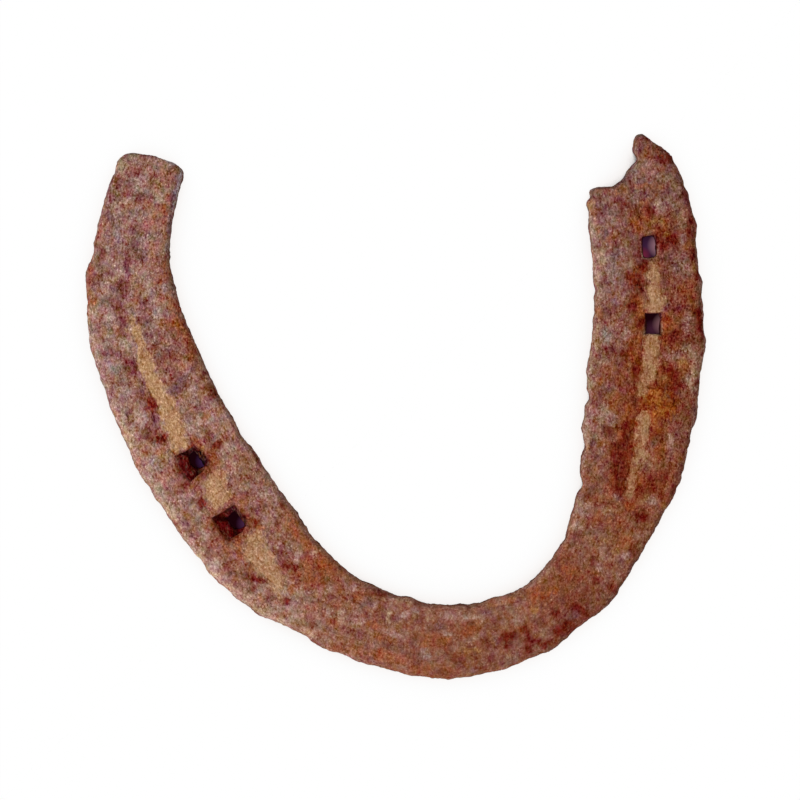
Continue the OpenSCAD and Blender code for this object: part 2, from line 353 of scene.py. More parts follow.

# broad tones of the face: display colour, how far it spreads in mm and the places that it spreads from
# painted light is in these tones too: they run lighter on the left branch and darker on the right, as the
# light falls from the left
tones = {
    "rosy": ((147, 106, 94), 6, [
        (-57, 50), (-61, 32), (-52, 30), (-48, -30), (-38, -40), (-30, -45), (-29, -20), (-57, 12),
    ]),
    "dusty": ((157, 117, 104), 6, [(-66, 10), (-61, -8), (-52, -22), (-41, -5)]),
    "brick": ((140, 91, 73), 6, [
        (-48, 12), (-38, -22), (-20, -33), (-13, -54), (-8, -43), (5, -51), (45, -14), (47, 1), (48, 19),
    ]),
    "ember": ((134, 84, 64), 6, [(5, -59), (14, -54), (14, -50), (45, -36), (50, -25)]),
    "umber": ((124, 73, 56), 6, [(35, -46), (67, 1), (67, 19), (66, 36), (63, 51)]),
    "russet": ((133, 80, 59), 5, [(64, -13), (69, 8)]),
    "oxblood": ((112, 58, 44), 6, [(41, -51)]),
    "burnt": ((132, 66, 36), 4, [(53, -19), (55, -8), (57, 3), (58, 14), (58, 26), (56, 40)]),
    "ashen": ((147, 108, 97), 6, [(47, 34), (51, 32), (57, 52)]),
    "clay": ((150, 104, 83), 4, [(29, -51), (32, -47)]),
    "sandy": ((154, 110, 89), 4, [(-25, -44)]),
    "frost": ((153, 114, 103), 5, [(-58, 41)]),
}

# how strongly each kind of patch is laid
weights = {
    "stain": 1.0, "burnt": 1.0, "orange": 0.85, "pink": 0.8, "pale": 1.0, "cream": 1.0, "slate": 0.8,
    "violet": 0.8, "wine": 0.95, "brown": 1.0, "haze": 1.0, "maroon": 1.15, "ochre": 0.9,
}

# patches: x, y, half width, half length, strength and turn in degrees
patches = {
    "stain": [
        [-38.5, -8, 3, 6, 0.22, 30], [-50, -17.5, 3.5, 4.5, 0.16, 30], [-41.5, -30, 3, 5, 0.2, 40],
        [-34.5, -38, 3, 4, 0.24, 40], [61, 5, 4.5, 6, 0.5], [53, 4, 3, 8, 0.4], [52, -12, 3, 9, 0.5, -4],
        [58, -17, 5, 4, 0.5], [60, -8, 4, 3, 0.4], [57, 42, 5, 2.5, 0.35], [62, 37, 4, 3, 0.35],
        [54, 27, 2, 6, 0.5], [63, 17, 3, 6, 0.4], [66, 26, 2, 6, 0.3], [38, -42, 8, 4, 0.35, 30],
        [30, -52, 6, 3, 0.3, 15], [-44, -12, 3.5, 3.5, 0.25], [-36, -29, 3.5, 4, 0.25],
        [-18, -36, 5, 3.5, 0.35, -40], [67, 40, 1.8, 5, 0.3], [47, -24, 4, 3, 0.25],
        [58.3, 58.5, 2, 2.8, 0.3], [14, -49.5, 4, 2.5, 0.25], [-38, -42, 3, 2.5, 0.2, 40],
    ],
    "burnt": [
        [54.6, 10, 1.2, 4.5, 0.75], [53.6, -5, 1.1, 4, 0.8], [52.8, -11, 1.5, 4.5, 0.85],
        [52, -17, 1.4, 3, 0.75], [56.8, -16, 1.7, 1.8, 0.8], [62.3, 6, 2, 1.8, 0.7],
        [62.6, 0.5, 1.4, 2.2, 0.6], [59, -5.5, 2.4, 1.5, 0.6], [55.8, 0.4, 1.2, 2.2, 0.95],
        [53.6, -22.5, 1.8, 1.4, 0.7], [61, 16, 1.2, 3.4, 0.6], [56, 43.5, 2.2, 1.6, 0.6],
        [55, 31, 1, 3.5, 0.6], [54.8, 24, 1, 4, 0.6], [61.4, 38.6, 2.4, 2.2, 0.5],
        [-54.8, -1.5, 1, 2.8, 0.6, 15], [-52.9, -7.5, 1.3, 1.8, 0.6], [-41, -27, 1.2, 2, 0.4],
        [-49, -14.5, 1.2, 1.2, 0.5], [-46.8, -14, 3.3, 3.6, 0.45], [-37.6, -27.6, 3.2, 3.4, 0.45],
        [58, 27, 3.5, 12, 0.25], [57, 6, 3.5, 10, 0.25],
    ],
    "orange": [
        [-52.3, 40.5, 0.4, 5.0, 0.7], [-51.6, 53, 1.4, 1.8, 0.5], [-51.4, 47, 0.7, 1.6, 0.6],
        [-52.6, 44.4, 0.5, 1.9, 0.7], [-52, 31, 1.1, 2.2, 0.7], [-53.6, 28.5, 1.1, 1.1, 0.7],
        [-67.3, 38.7, 0.9, 1.3, 0.5], [-69, 29.5, 0.9, 2, 0.6], [-69, 24, 0.9, 1.7, 0.7],
        [-49.6, 21.5, 1.0, 4.5, 0.65, 20], [-53, 24, 1, 0.9, 0.4], [-54, 42, 1.2, 3, 0.4],
        [-52, 18.5, 1.8, 1.5, 0.6], [-48.8, 17.5, 1.3, 2.2, 0.7, 20], [-46.5, 14.5, 0.9, 2.2, 0.7, 20],
        [-46, 11.5, 1.1, 1.6, 0.7, 20], [-42.5, -2, 0.9, 1, 0.5], [-45, -8, 0.7, 2.2, 0.7, 50],
        [-40.5, -13, 1.1, 1.8, 0.7, 20], [-39.7, -15.5, 1, 1, 0.6], [-35.5, -21.5, 2.2, 1, 0.6],
        [-29.7, -17.3, 0.9, 1.3, 0.6, 30], [-23.5, -26, 1.3, 1.7, 0.7, 35], [-30, -28, 1.2, 0.8, 0.7],
        [-26.5, -28, 1.2, 0.8, 0.6], [-35, -34, 1, 1, 0.8], [-35, -31.5, 0.8, 1.3, 0.7],
        [-38, -32, 1.3, 1.8, 0.5, 30], [-33, -36.5, 1.1, 1, 0.7], [-30.5, -44, 0.9, 1.2, 0.6],
        [-25.5, -47.8, 1.3, 0.7, 0.5], [-24, -41.5, 0.8, 1, 0.7], [-22, -38.5, 1.3, 1.2, 0.6],
        [-17.5, -37, 2.6, 3.4, 0.6, 45], [-21, -30, 1.3, 4.5, 0.6, 42], [-14.5, -36, 1.2, 4.5, 0.6, 55],
        [-20.3, -40, 2.2, 1.4, 0.6], [-8, -43, 1.3, 1, 0.7], [-13, -42, 0.8, 1.2, 0.6],
        [-13, -46, 1.2, 1.1, 0.6], [-13.8, -49.5, 1.4, 1.1, 0.6], [-5.5, -49.3, 1.5, 1.1, 0.7],
        [-3.4, -52.5, 1.8, 1, 0.6], [-2.5, -57, 3.2, 1.3, 0.6, -12], [-8, -55.5, 2.6, 1.1, 0.5, -14],
        [2, -57.5, 2.2, 1.2, 0.4], [-13, -55, 2, 0.9, 0.4], [8, -53, 2.6, 1.8, 0.55],
        [11.5, -53.5, 1, 1.8, 0.6], [6, -59.6, 3, 1, 0.5], [12, -60.3, 2, 0.8, 0.5],
        [16, -56.5, 1.1, 0.8, 0.6, 15], [17, -50.8, 1.7, 1.3, 0.7], [22, -44.6, 0.9, 0.9, 0.6],
        [26, -44, 1.5, 0.8, 0.5], [32.5, -42.5, 2, 1.6, 0.75], [35.8, -42, 1.5, 0.9, 0.8],
        [30.8, -44.7, 1, 1.2, 0.6], [28, -51, 1, 0.7, 0.6], [39, -37.3, 1.7, 1.7, 0.75, -30],
        [45.5, -37.8, 0.8, 1, 0.6], [45.5, -25.3, 1.2, 1.5, 0.5], [48.5, -26, 0.8, 0.8, 0.5],
        [52, -31.3, 1.6, 1.8, 0.6], [51, -28, 2, 2, 0.4], [53.2, -22.8, 1.2, 1.2, 0.9],
        [56.3, -17, 1, 1.5, 0.7, -10], [40.3, -26, 0.6, 1, 0.6], [38, -34, 1, 1.2, 0.4],
        [49.2, -18.5, 1.2, 2.4, 0.5], [50.4, -5.8, 1, 0.8, 0.7], [50, 1, 1.8, 2.2, 0.45],
        [53, -1.2, 1.5, 1.3, 0.7], [54.6, 12, 1, 2.4, 0.8], [55.4, 16.5, 0.9, 2, 0.7],
        [55.5, 21, 1, 1.8, 0.8], [61.3, 18.5, 0.9, 2.6, 0.8], [63, 18, 1.3, 1, 0.6],
        [61.2, 15, 0.7, 1.2, 0.8], [66.5, 9, 1.2, 1.1, 0.8], [61, 6.7, 0.9, 0.9, 0.8],
        [59.6, -5, 1.2, 1, 0.8], [59.5, -11, 1.7, 1.7, 0.6], [58.3, -2.6, 3.2, 1.6, 0.6],
        [57.3, 57, 1.2, 1.5, 0.4], [51, 48.5, 1.1, 1.4, 0.7], [57.5, 49.7, 3.2, 0.7, 0.6],
        [47, 49, 1.8, 0.9, 0.5], [57, 46.4, 1.3, 0.9, 0.7], [56.5, 43.5, 1.4, 1.5, 0.7],
        [54.8, 40.4, 1.2, 1.7, 0.85], [61.3, 40.8, 0.9, 1.1, 0.8], [66.4, 36, 0.9, 2, 0.6],
        [49.3, 37.5, 1.3, 1.1, 0.6], [46, 39.5, 1.1, 0.8, 0.6], [48.6, 25.2, 1.2, 0.6, 0.5],
        [66, 27, 1.1, 1.8, 0.5], [67.5, 24, 0.9, 2.5, 0.5], [46, 21, 0.7, 1.8, 0.6],
        [47.6, 8, 1.1, 1.5, 0.4], [46, 5, 1.2, 1.3, 0.4],
    ],
    "pink": [
        [-54.6, 36.4, 1.7, 1.2, 0.6], [-55, 33.3, 1.5, 1.6, 0.6], [-58.5, 27, 0.9, 2.6, 0.6],
        [-54.7, 45.6, 2, 0.8, 0.5], [-60.5, 45.6, 2, 0.7, 0.4], [-56, 42, 1.4, 4, 0.4],
        [-66, 41.5, 1, 3.5, 0.4], [-62.7, 53, 0.6, 2.5, 0.4], [-55.5, -10.6, 1.8, 0.8, 0.5],
        [-58.3, -12.4, 0.7, 1.8, 0.6, 30], [-52, -17, 1.6, 1.6, 0.4], [-49, 8.5, 1.6, 1.4, 0.4],
        [-42.5, -25.5, 1.5, 0.8, 0.4], [-19, -47, 2.6, 1.6, 0.5], [-6.5, -57, 0.9, 0.6, 0.5],
        [0, -57, 2.5, 1.2, 0.4], [55, 49.7, 1.6, 0.6, 0.7], [57.5, 53.6, 2.4, 1.2, 0.5],
        [37, -32.7, 0.8, 2.2, 0.5, -35], [42.6, -17.3, 0.6, 1.4, 0.6], [46, -36, 1.5, 1, 0.3],
        [44.6, 30, 0.5, 6, 0.5], [46.5, 33, 0.8, 1.6, 0.5], [45.3, 43, 0.7, 2, 0.5],
    ],
    "pale": [
        [-57, 51, 1.1, 0.9, 0.6], [-62.2, 51.6, 0.9, 0.7, 0.5], [-58.8, 49.5, 0.6, 1.6, 0.6],
        [-61, 46.9, 1.1, 0.7, 0.6], [-53.2, 47.1, 1.1, 0.8, 0.7], [-60.5, 41.4, 1.3, 0.7, 0.6],
        [-63.1, 44.2, 0.8, 1.2, 0.5], [-56, 38, 1, 1.1, 0.6], [-63.4, 33, 0.9, 0.8, 0.6],
        [-62.4, 31.1, 1.1, 0.9, 0.8], [-64.6, 35, 0.7, 0.8, 0.5], [-63, 29.4, 1.7, 0.8, 0.7],
        [-65.6, 27, 0.9, 1.8, 0.7], [-57.5, 31, 1.2, 1, 0.6], [-56, 27.3, 0.9, 1.8, 0.7],
        [-65.5, 20.6, 1.2, 1.8, 0.7], [-68.6, 20.5, 0.8, 2, 0.5], [-59.3, 22.2, 0.9, 1, 0.6],
        [-54.4, 23.4, 0.7, 2, 0.6, 20], [-57.6, 29.4, 0.6, 0.6, 0.7], [-62, 14, 1.6, 1.1, 0.7],
        [-63, 0, 1.4, 1, 0.9], [-62, -2.6, 0.7, 1.1, 0.9], [-58.2, -2, 1.1, 0.9, 0.7],
        [-57.8, -4, 0.8, 1.1, 0.7], [-58.6, -10, 0.9, 1.1, 0.9], [-55.7, -16, 0.7, 0.7, 0.9],
        [-46, 3, 0.9, 1.7, 0.6], [-50.4, 1.2, 1, 0.6, 0.7], [-46.9, -4.7, 0.9, 2, 0.7, 30],
        [-54.3, 18.5, 0.7, 1.2, 0.5], [-38.6, -9.4, 1.2, 1.1, 0.5], [-28.8, -20.4, 1.7, 1, 0.6],
        [-27.4, -31.8, 1.2, 0.6, 0.7], [-22.3, -34.6, 0.5, 1.7, 0.7], [-53.2, -19.4, 0.8, 1.7, 0.9, 30],
        [-49.4, -25.6, 0.7, 1.7, 0.7, 35], [-43.5, -29.5, 0.9, 1.7, 0.6, 30],
        [-46.2, -31.4, 0.9, 1.4, 0.9, 30], [-41, -36.4, 1.1, 1.2, 0.8], [-26, -46, 1.5, 0.6, 0.8],
        [-27.3, -47, 0.9, 0.5, 0.7], [-9.3, -41.4, 0.9, 0.6, 0.7], [-21.3, -42.3, 1.5, 0.7, 0.7],
        [-14.8, -47, 0.6, 1, 0.6], [-8.2, -48.8, 1.2, 0.8, 0.6], [2.2, -47.3, 0.8, 0.7, 0.9],
        [-0.4, -52, 0.5, 1.8, 0.6, 70], [-22.7, -48, 0.8, 1.1, 0.6], [-14.8, -41.6, 0.8, 0.6, 0.5],
        [11.5, -51.8, 1, 0.6, 0.7], [14, -48, 2, 1.2, 0.4], [18, -47.9, 0.9, 0.5, 0.7, -30],
        [11.5, -48, 1.2, 1, 0.4], [46.4, -36.6, 0.9, 1.1, 0.7], [42.4, -23.6, 1, 2.2, 0.5, 20],
        [41.5, -27.5, 1.2, 0.9, 0.6], [44, -3, 0.7, 1.3, 0.6], [47, -2, 1.6, 1.6, 0.4],
        [52.4, 16, 0.9, 1.1, 0.5], [67, 6, 1, 1, 0.6], [54.5, 51.2, 0.9, 0.7, 0.6],
        [66, 31.3, 0.7, 2.2, 0.5], [47.4, 25, 0.9, 0.8, 0.5], [51.8, 25.2, 1, 0.9, 0.5],
        [45.5, 32, 0.7, 2.5, 0.5], [60, 44.5, 1.2, 1.2, 0.4], [52.6, -34, 1, 0.8, 0.6],
        [58.4, -21.4, 1.2, 1.1, 0.4], [62.5, 11.5, 1.5, 1.3, 0.35], [66, 12.3, 1.2, 1.1, 0.4],
        [62.5, -8, 0.9, 1.9, 0.4], [66.2, 19, 0.8, 1.9, 0.4],
    ],
    "cream": [
        [-62.4, 54.6, 0.8, 1.4, 0.6], [-54, 48.5, 1.1, 1.2, 0.5], [-60.7, -6.6, 0.8, 2.4, 0.9, 25],
        [-45.5, -33.8, 0.7, 2, 0.7, 35], [-40.4, -38.9, 0.9, 1.5, 0.8, 45], [-37, -41.8, 0.7, 2.2, 0.8, 48],
        [-50.5, -24, 0.6, 2.5, 0.6, 35], [-61.5, 54.8, 2.4, 1.8, 0.5], [53.9, 57, 1, 2, 0.45],
        [68.3, 7, 1.8, 5, 0.35], [57, -13, 2, 3, 0.2], [-30, -42, 4, 4, 0.12], [19, -47.8, 3, 1, 0.3],
        [3, -44.2, 4, 0.7, 0.3], [-4.7, -45.5, 0.7, 0.8, 0.7], [-1.3, -47.6, 0.5, 1.4, 0.7],
        [-12, -47.6, 0.7, 1.5, 0.6], [-18.7, -33.5, 0.8, 0.9, 0.6], [-19.5, -51.6, 2, 0.7, 0.6, -28],
        [-36.6, -13.5, 0.8, 0.9, 0.6], [-33, -28.7, 0.8, 0.7, 0.8], [-33, -43.6, 1, 1.2, 0.6],
        [7.3, -47.5, 0.6, 1.2, 0.5], [13.3, -54.4, 0.5, 1.1, 0.5], [18.7, -52.8, 0.9, 0.7, 0.5],
        [47, -33, 0.5, 1.7, 0.5], [43.5, -22.2, 0.9, 0.8, 0.4], [48.5, -23.6, 1.7, 1, 0.4],
        [47.4, 10.5, 0.8, 1.3, 0.5], [46, -7.2, 0.9, 0.7, 0.5], [47.2, 34, 0.7, 1.7, 0.5],
        [59.4, 46, 0.9, 0.8, 0.4], [59.2, 24.6, 0.8, 0.8, 0.6], [45.8, 30.3, 0.5, 1.6, 0.5],
        [53.7, 31.8, 0.8, 0.8, 0.4], [50.2, 17.8, 0.9, 1, 0.4], [61, 52, 1.2, 1, 0.2],
        [65, 42.5, 1, 2, 0.3],
    ],
    "slate": [
        [-60.8, 36.8, 1.6, 1.2, 0.5], [-63.4, 39.3, 0.7, 1, 0.6], [-63.9, 8, 1.3, 1.1, 0.7],
        [-61.6, 3.3, 2.2, 1.2, 0.6], [-53.5, 21.5, 1, 1.1, 0.5], [-66.4, 14.5, 1, 1.2, 0.5],
        [-46.5, 6.8, 1, 1.7, 0.6, 20], [-41.2, 0.9, 0.7, 0.8, 0.7], [-38.8, -3, 0.7, 1.1, 0.5],
        [-53.7, -13.5, 0.9, 1.8, 0.7], [-24.1, -32.4, 0.9, 1.2, 0.6], [-47, -22.4, 1.3, 1.3, 0.5],
        [-44.6, -25.2, 0.8, 0.9, 0.5], [-52.3, 27, 0.6, 1, 0.5], [4.3, -46.1, 1, 0.7, 0.6],
        [7, -56.2, 1.1, 1.1, 0.7], [15.8, -47.8, 0.7, 0.6, 0.7], [47.9, 16, 1.1, 2.1, 0.85],
        [49.4, -3, 1.1, 1.2, 0.6], [26.3, -57, 1.5, 1.1, 0.4], [54.3, 52.8, 0.7, 0.9, 0.8],
        [53.8, 46.8, 0.8, 0.8, 0.7], [65.6, 38, 0.8, 1, 0.6], [27, -48.8, 1.2, 1, 0.4],
        [62.4, 47.3, 1.3, 1.8, 0.35], [64.5, 32.5, 1.8, 4, 0.3], [-66.8, 4, 1.3, 6, 0.6, 15],
        [-57.5, 17, 5, 4, 0.24], [-53, 39, 3, 4, 0.15], [-17, -50, 3, 1.5, 0.25, -30],
        [31, -53.5, 4, 1.6, 0.25, 25], [50.5, -21, 1, 0.9, 0.4], [48.9, 31, 0.9, 3, 0.5],
    ],
    "violet": [
        # the first three rows are painted shade: a dark line along the left heel's inner wall
        [-50.7, 45, 0.5, 3.6, 0.9, -8], [-49.8, 50.6, 0.4, 3, 0.7, -10], [-51, 38.5, 0.45, 3, 0.7],
        [-64.4, 42.6, 0.9, 2.2, 0.6, 35], [-62.4, 42, 1.6, 1, 0.5], [-58, 34, 1.2, 1.1, 0.6],
        [-58.7, 36.5, 0.9, 1.6, 0.5], [-65, 24, 1.7, 1.1, 0.7], [-55.5, 50, 0.7, 1.3, 0.5],
        [-57, 47.8, 1.1, 0.9, 0.5], [-62.3, 11.2, 1.6, 1.1, 0.6], [-54.6, -3, 0.9, 1.8, 0.8],
        [-48.6, 5, 1.5, 2.2, 0.7], [-50.4, 3.8, 1.1, 1.1, 0.7], [-49.5, 2.8, 1, 0.7, 0.7],
        [-45, -18, 0.7, 0.9, 0.6], [-45.8, -22, 0.9, 0.9, 0.7], [-33.9, -39, 0.7, 0.8, 0.8],
        [-26.9, -43.5, 0.5, 0.9, 0.8], [-6.5, -45, 1.6, 0.6, 0.6], [-16.2, -44.6, 1, 0.9, 0.5],
        [-2, -54.6, 1.3, 0.6, 0.5], [9.6, -50, 1.4, 1.2, 0.7], [20.4, -47, 1.4, 1.4, 0.5],
        [23.3, -53.2, 0.8, 0.9, 0.7], [41, -47.4, 1.8, 1, 0.6], [26.4, -57.8, 1.2, 0.9, 0.5],
        [17.8, -60, 0.8, 0.5, 0.5], [42.2, -20.8, 0.9, 1.2, 0.6], [45.1, -8.4, 0.8, 0.9, 0.8],
        [47.7, 3.8, 1.1, 1, 0.4], [46.5, 12.5, 0.8, 1.2, 0.6], [49.8, 35.5, 0.9, 2.4, 0.6],
        [48, 39.3, 0.8, 0.8, 0.4], [53, 19.5, 0.8, 0.8, 0.5], [61.6, 22.2, 1.2, 0.9, 0.6],
        [62, 53.6, 1.1, 1.1, 0.6], [57, 48.2, 1.3, 0.7, 0.4], [58.4, -8.5, 1, 0.7, 0.5],
        [64.5, -7, 1, 1.3, 0.4], [52.2, 26.6, 0.9, 1, 0.5], [-62, 6, 1.5, 1, 0.3],
        [54.4, -36.5, 1, 2.2, 0.5, -35],
    ],
    "wine": [
        [-59.3, 53, 2.2, 1.1, 0.6], [-60.6, 56, 0.9, 0.9, 0.5], [-63.1, 50.6, 0.8, 1.6, 0.8],
        [-61, 49.2, 0.7, 1.9, 0.6, 35], [-64, 47.6, 1, 1, 0.5], [-57, 47.2, 1.6, 0.9, 0.5],
        [-58.7, 40.1, 1.1, 1.2, 0.7], [-59, 35.5, 0.9, 1.3, 0.6], [-62.9, 34, 1.1, 0.7, 0.6],
        [-60.7, 32, 0.9, 2.4, 0.75], [-64.6, 31, 0.9, 1.3, 0.6], [-62.3, 27.6, 2, 0.8, 0.7],
        [-61.9, 25.7, 1.5, 1, 0.7], [-67.5, 28.5, 0.8, 1.8, 0.5], [-62.8, 22.1, 1.6, 1.2, 0.7],
        [-61.7, 19, 1.2, 1.7, 0.7], [-57.1, 22, 1, 2, 0.7], [-57, 18.8, 0.8, 1.1, 0.6],
        [-66.7, 34.6, 0.8, 1.9, 0.75], [-65, 12, 1.5, 1.2, 0.7], [-62, 16.5, 1.2, 1, 0.5],
        [-59.6, 9, 1.7, 2, 0.8], [-57.6, 3.6, 1.5, 2.4, 0.5], [-55.6, -6.6, 1.4, 1.8, 0.8],
        [-60.4, -2.6, 0.7, 1.7, 0.7], [-62.4, 4.9, 1.2, 0.6, 0.4], [-60, 4.8, 0.6, 0.7, 0.5],
        [-51.4, 17, 1.1, 1.1, 0.5], [-49.5, 14.6, 1.1, 1.4, 0.5], [-56, 16, 1.4, 0.8, 0.6],
        [-54, 13.5, 1.2, 0.9, 0.5], [-53.4, 10.5, 1.1, 1, 0.5], [-50.6, 11.4, 1, 1.2, 0.5],
        [-50.5, 8, 1, 0.9, 0.5], [-45.4, 9, 0.9, 1.2, 0.7], [-44.3, -0.5, 0.9, 1.1, 0.6],
        [-47, -2.2, 0.6, 1.5, 0.6, 40], [-42.4, -7, 1, 1.2, 0.7], [-43.7, -5.1, 0.9, 0.6, 0.5],
        [-50.5, -20.4, 1.1, 0.7, 0.5], [-48, -18.5, 0.9, 0.8, 0.7], [-47, -27.6, 0.7, 2.1, 0.6, 28],
        [-33, -20, 1.2, 0.9, 0.6], [-37.8, -18, 0.9, 0.6, 0.5], [-32.5, -16.5, 0.8, 0.9, 0.5],
        [-30.4, -23, 0.8, 0.9, 0.5], [-27, -26.4, 0.9, 0.9, 0.6], [-26.5, -33.3, 1.1, 0.8, 0.6],
        [-25.6, -35, 0.9, 1.6, 0.7], [-38.2, -37, 0.9, 1.5, 0.6, 20], [-42, -33.6, 0.9, 1.2, 0.5],
        [-28.3, -43, 0.7, 1.1, 0.7], [-20, -48.4, 0.6, 0.9, 0.5], [-14.6, -43.6, 0.6, 1.1, 0.6],
        [-8, -52.2, 1.3, 1, 0.5], [-9.6, -50.8, 1.1, 0.6, 0.5], [-0.2, -48.2, 0.9, 0.7, 0.7],
        [6, -48.4, 1.2, 0.8, 0.5], [5.3, -53, 1, 1, 0.4], [12.5, -46.5, 1.1, 0.7, 0.5],
        [22.4, -48.5, 1.2, 1, 0.6], [21.8, -57, 1, 1, 0.7], [23.8, -58.2, 1, 0.9, 0.7],
        [48.3, -33, 0.8, 0.8, 0.5], [43, -41.8, 0.8, 1.4, 0.5], [47.4, -17, 1.4, 1.2, 0.6],
        [44.4, -19.5, 1.1, 1.7, 0.6], [45.2, 1, 1, 0.8, 0.7], [47, 2.2, 0.9, 0.7, 0.6],
        [46.4, -0.6, 0.8, 0.8, 0.4], [52.4, 4, 1, 1.4, 0.6], [48.6, 21.8, 1.4, 1, 0.7],
        [49, 12.6, 1.1, 1, 0.7], [50.6, 9.8, 1.2, 1, 0.6], [64, 22, 1.2, 1, 0.6],
        [53.4, 48.8, 0.8, 0.9, 0.7], [52.8, 50.6, 0.9, 0.9, 0.7], [46, 47, 1.2, 0.8, 0.6],
        [46.5, 44, 1.6, 1.2, 0.6], [50.9, 43.4, 0.9, 1, 0.6], [61.9, 49, 1.2, 0.8, 0.6],
        [62.4, 33, 1.5, 1.2, 0.6], [61.2, 28, 0.8, 1.7, 0.6], [46, 36, 0.9, 1, 0.6],
        [47.3, 28, 0.9, 1.2, 0.6], [52, 29.4, 1, 1, 0.6], [55, 58.2, 1.3, 1.4, 0.5],
        [56, 60.5, 1.6, 1, 0.5], [57.5, 44.5, 0.8, 1.6, 0.6], [53.3, 35, 0.8, 3.5, 0.4],
        [60.2, -22, 0.9, 0.9, 0.3], [41, -29.5, 1.2, 0.7, 0.5],
    ],
    "brown": [
        [-57.2, -6.6, 1.2, 1.2, 0.5], [-62, 18, 0.8, 1.2, 0.3], [-58.2, 18.6, 0.5, 0.9, 0.9],
        [-42.4, 4, 0.9, 1, 0.7], [-17.6, -37, 0.7, 2.4, 0.6, 30], [-18.2, -49.8, 0.9, 0.8, 0.7],
        [-3.5, -46.5, 1.6, 1.1, 0.5], [-1.6, -43.1, 1.6, 0.7, 0.8], [9, -46.2, 1.2, 0.9, 0.5],
        [12.8, -56, 0.7, 1.8, 0.6], [16.6, -46.3, 0.7, 1.2, 0.8], [17, -49.2, 0.9, 0.6, 0.8],
        [20, -54, 1.4, 1.4, 0.7], [20, -60, 1.7, 0.8, 0.6], [10.4, -60.4, 1.8, 0.7, 0.6],
        [33, -49, 1, 0.9, 0.7], [45, -34.6, 1.4, 0.8, 0.8], [41.5, -29.7, 1, 0.6, 0.4],
        [48.4, -6, 1.2, 1.2, 0.6], [54.4, 5, 0.8, 1.4, 0.6], [54.2, 1, 1.2, 1.2, 0.7],
        [65.2, 14, 1.4, 0.9, 0.8], [60, -7.2, 1.5, 1, 0.7], [56, -13.6, 1, 1.1, 0.7],
        [61.8, -14.2, 1.2, 1, 0.5], [66, -3, 0.9, 1.7, 0.4], [58.8, 58.8, 1.5, 0.8, 0.8],
        [54.6, 44.1, 1.1, 1.1, 0.7], [52, 29.6, 0.9, 0.9, 0.4], [62.7, 39.6, 0.9, 0.8, 0.6],
        [54.7, 36.8, 0.7, 1.4, 0.6], [28.6, -53.2, 0.8, 0.9, 0.8], [-46.6, 12.4, 0.9, 1.4, 0.5],
        [-42, -10.4, 1.2, 0.7, 0.4], [38, -42, 0.8, 0.9, 0.5], [47.8, -28.2, 1, 0.8, 0.3],
    ],
    "haze": [
        # painted shadow: a grey-violet band along the left heel's inner side and top corner, where the shadow
        # on the floor lies
        [-48.9, 50.6, 0.4, 3.2, 0.8, -11], [-48.6, 53.4, 0.4, 1.3, 0.8, -4],
        [-50.9, 55.6, 2.6, 0.35, 0.75, -25], [-50.2, 46, 0.3, 2.4, 0.5, -9],
    ],
    "maroon": [
        [-54.5, 0.9, 1.1, 2, 0.9], [-53.4, -7.8, 1.4, 1, 0.85], [-56.2, 1, 1, 1.6, 0.5],
        [-43.3, 7, 0.6, 1, 0.7], [-41, 2.6, 0.8, 1.3, 0.8], [-42.4, 1.5, 0.6, 0.7, 0.5],
        [-40.5, -9, 1.1, 0.9, 0.85], [-44.1, -21.8, 1, 1.5, 0.9], [-31.6, -12.2, 0.5, 2.4, 0.6, 25],
        [-32, -26.6, 0.7, 1.5, 0.8, 30], [-25.5, -22.5, 0.7, 1.7, 0.6, 30], [-32.2, -39.3, 1.7, 0.9, 0.85],
        [-30.4, -39.9, 1.4, 0.6, 0.8, -20], [-32.5, -41.8, 0.9, 0.9, 0.7], [-33.4, -36.4, 0.8, 0.9, 0.6],
        [-25, -44.4, 0.9, 0.9, 0.7], [-23.3, -36.6, 1.7, 0.9, 0.75], [-5.4, -42, 1.4, 0.8, 0.6],
        [-3.4, -42.8, 1.2, 0.9, 0.7], [-16.5, -40.6, 1, 0.7, 0.5], [5.4, -44.8, 1.6, 0.7, 0.5],
        [14.2, -57.5, 1.6, 1.1, 0.4], [25.3, -53, 1.4, 2, 0.8], [27, -52.4, 1, 1, 0.95],
        [29.5, -51, 0.9, 1.2, 0.8], [31, -53, 1.4, 1.4, 1], [30, -55.1, 1.1, 1.4, 0.8],
        [33.6, -54, 1.5, 0.8, 0.9], [36.3, -46.8, 1.2, 0.8, 0.9], [40.6, -45.5, 0.9, 1.2, 0.8],
        [42.2, -46.2, 1, 0.8, 0.6], [43.2, -47.6, 1, 0.9, 0.7], [38.3, -50.4, 2.8, 1.3, 0.8, 25],
        [36.5, -35.4, 0.9, 1, 0.5], [45.8, -40, 0.9, 0.9, 0.8], [49, -41.5, 1.1, 1.1, 0.7],
        [54, -33, 0.9, 1.8, 0.6, -20], [55.7, -25, 1.1, 1.7, 0.75], [54.2, -24.6, 0.9, 0.8, 0.6],
        [55.5, -19, 1.1, 0.8, 0.9], [58.3, -17.6, 1.6, 2, 0.65], [57.6, -16, 0.8, 0.6, 0.7],
        [60.7, -20, 0.8, 0.9, 0.7], [60.9, -16.5, 0.7, 1.3, 0.6], [63, -18.8, 0.9, 1.1, 0.7, -25],
        [51.4, -16.5, 1.3, 4, 0.95, -4], [51.4, -11, 1.9, 3, 0.9], [52.6, -6, 1.2, 2.6, 0.85],
        [49.4, -14.2, 0.9, 1, 0.7], [50.3, -9, 1.1, 1, 0.8], [48.3, -5.6, 0.8, 0.9, 0.5],
        [54.1, 1.4, 0.9, 1, 0.5], [54.6, 7.8, 0.9, 1.9, 0.8], [51.4, 11.8, 1.5, 0.9, 0.85],
        [53.7, 22.4, 1, 1.5, 0.85], [55.9, 18.8, 0.8, 0.9, 0.8], [63, 15.5, 1.8, 1.3, 0.95],
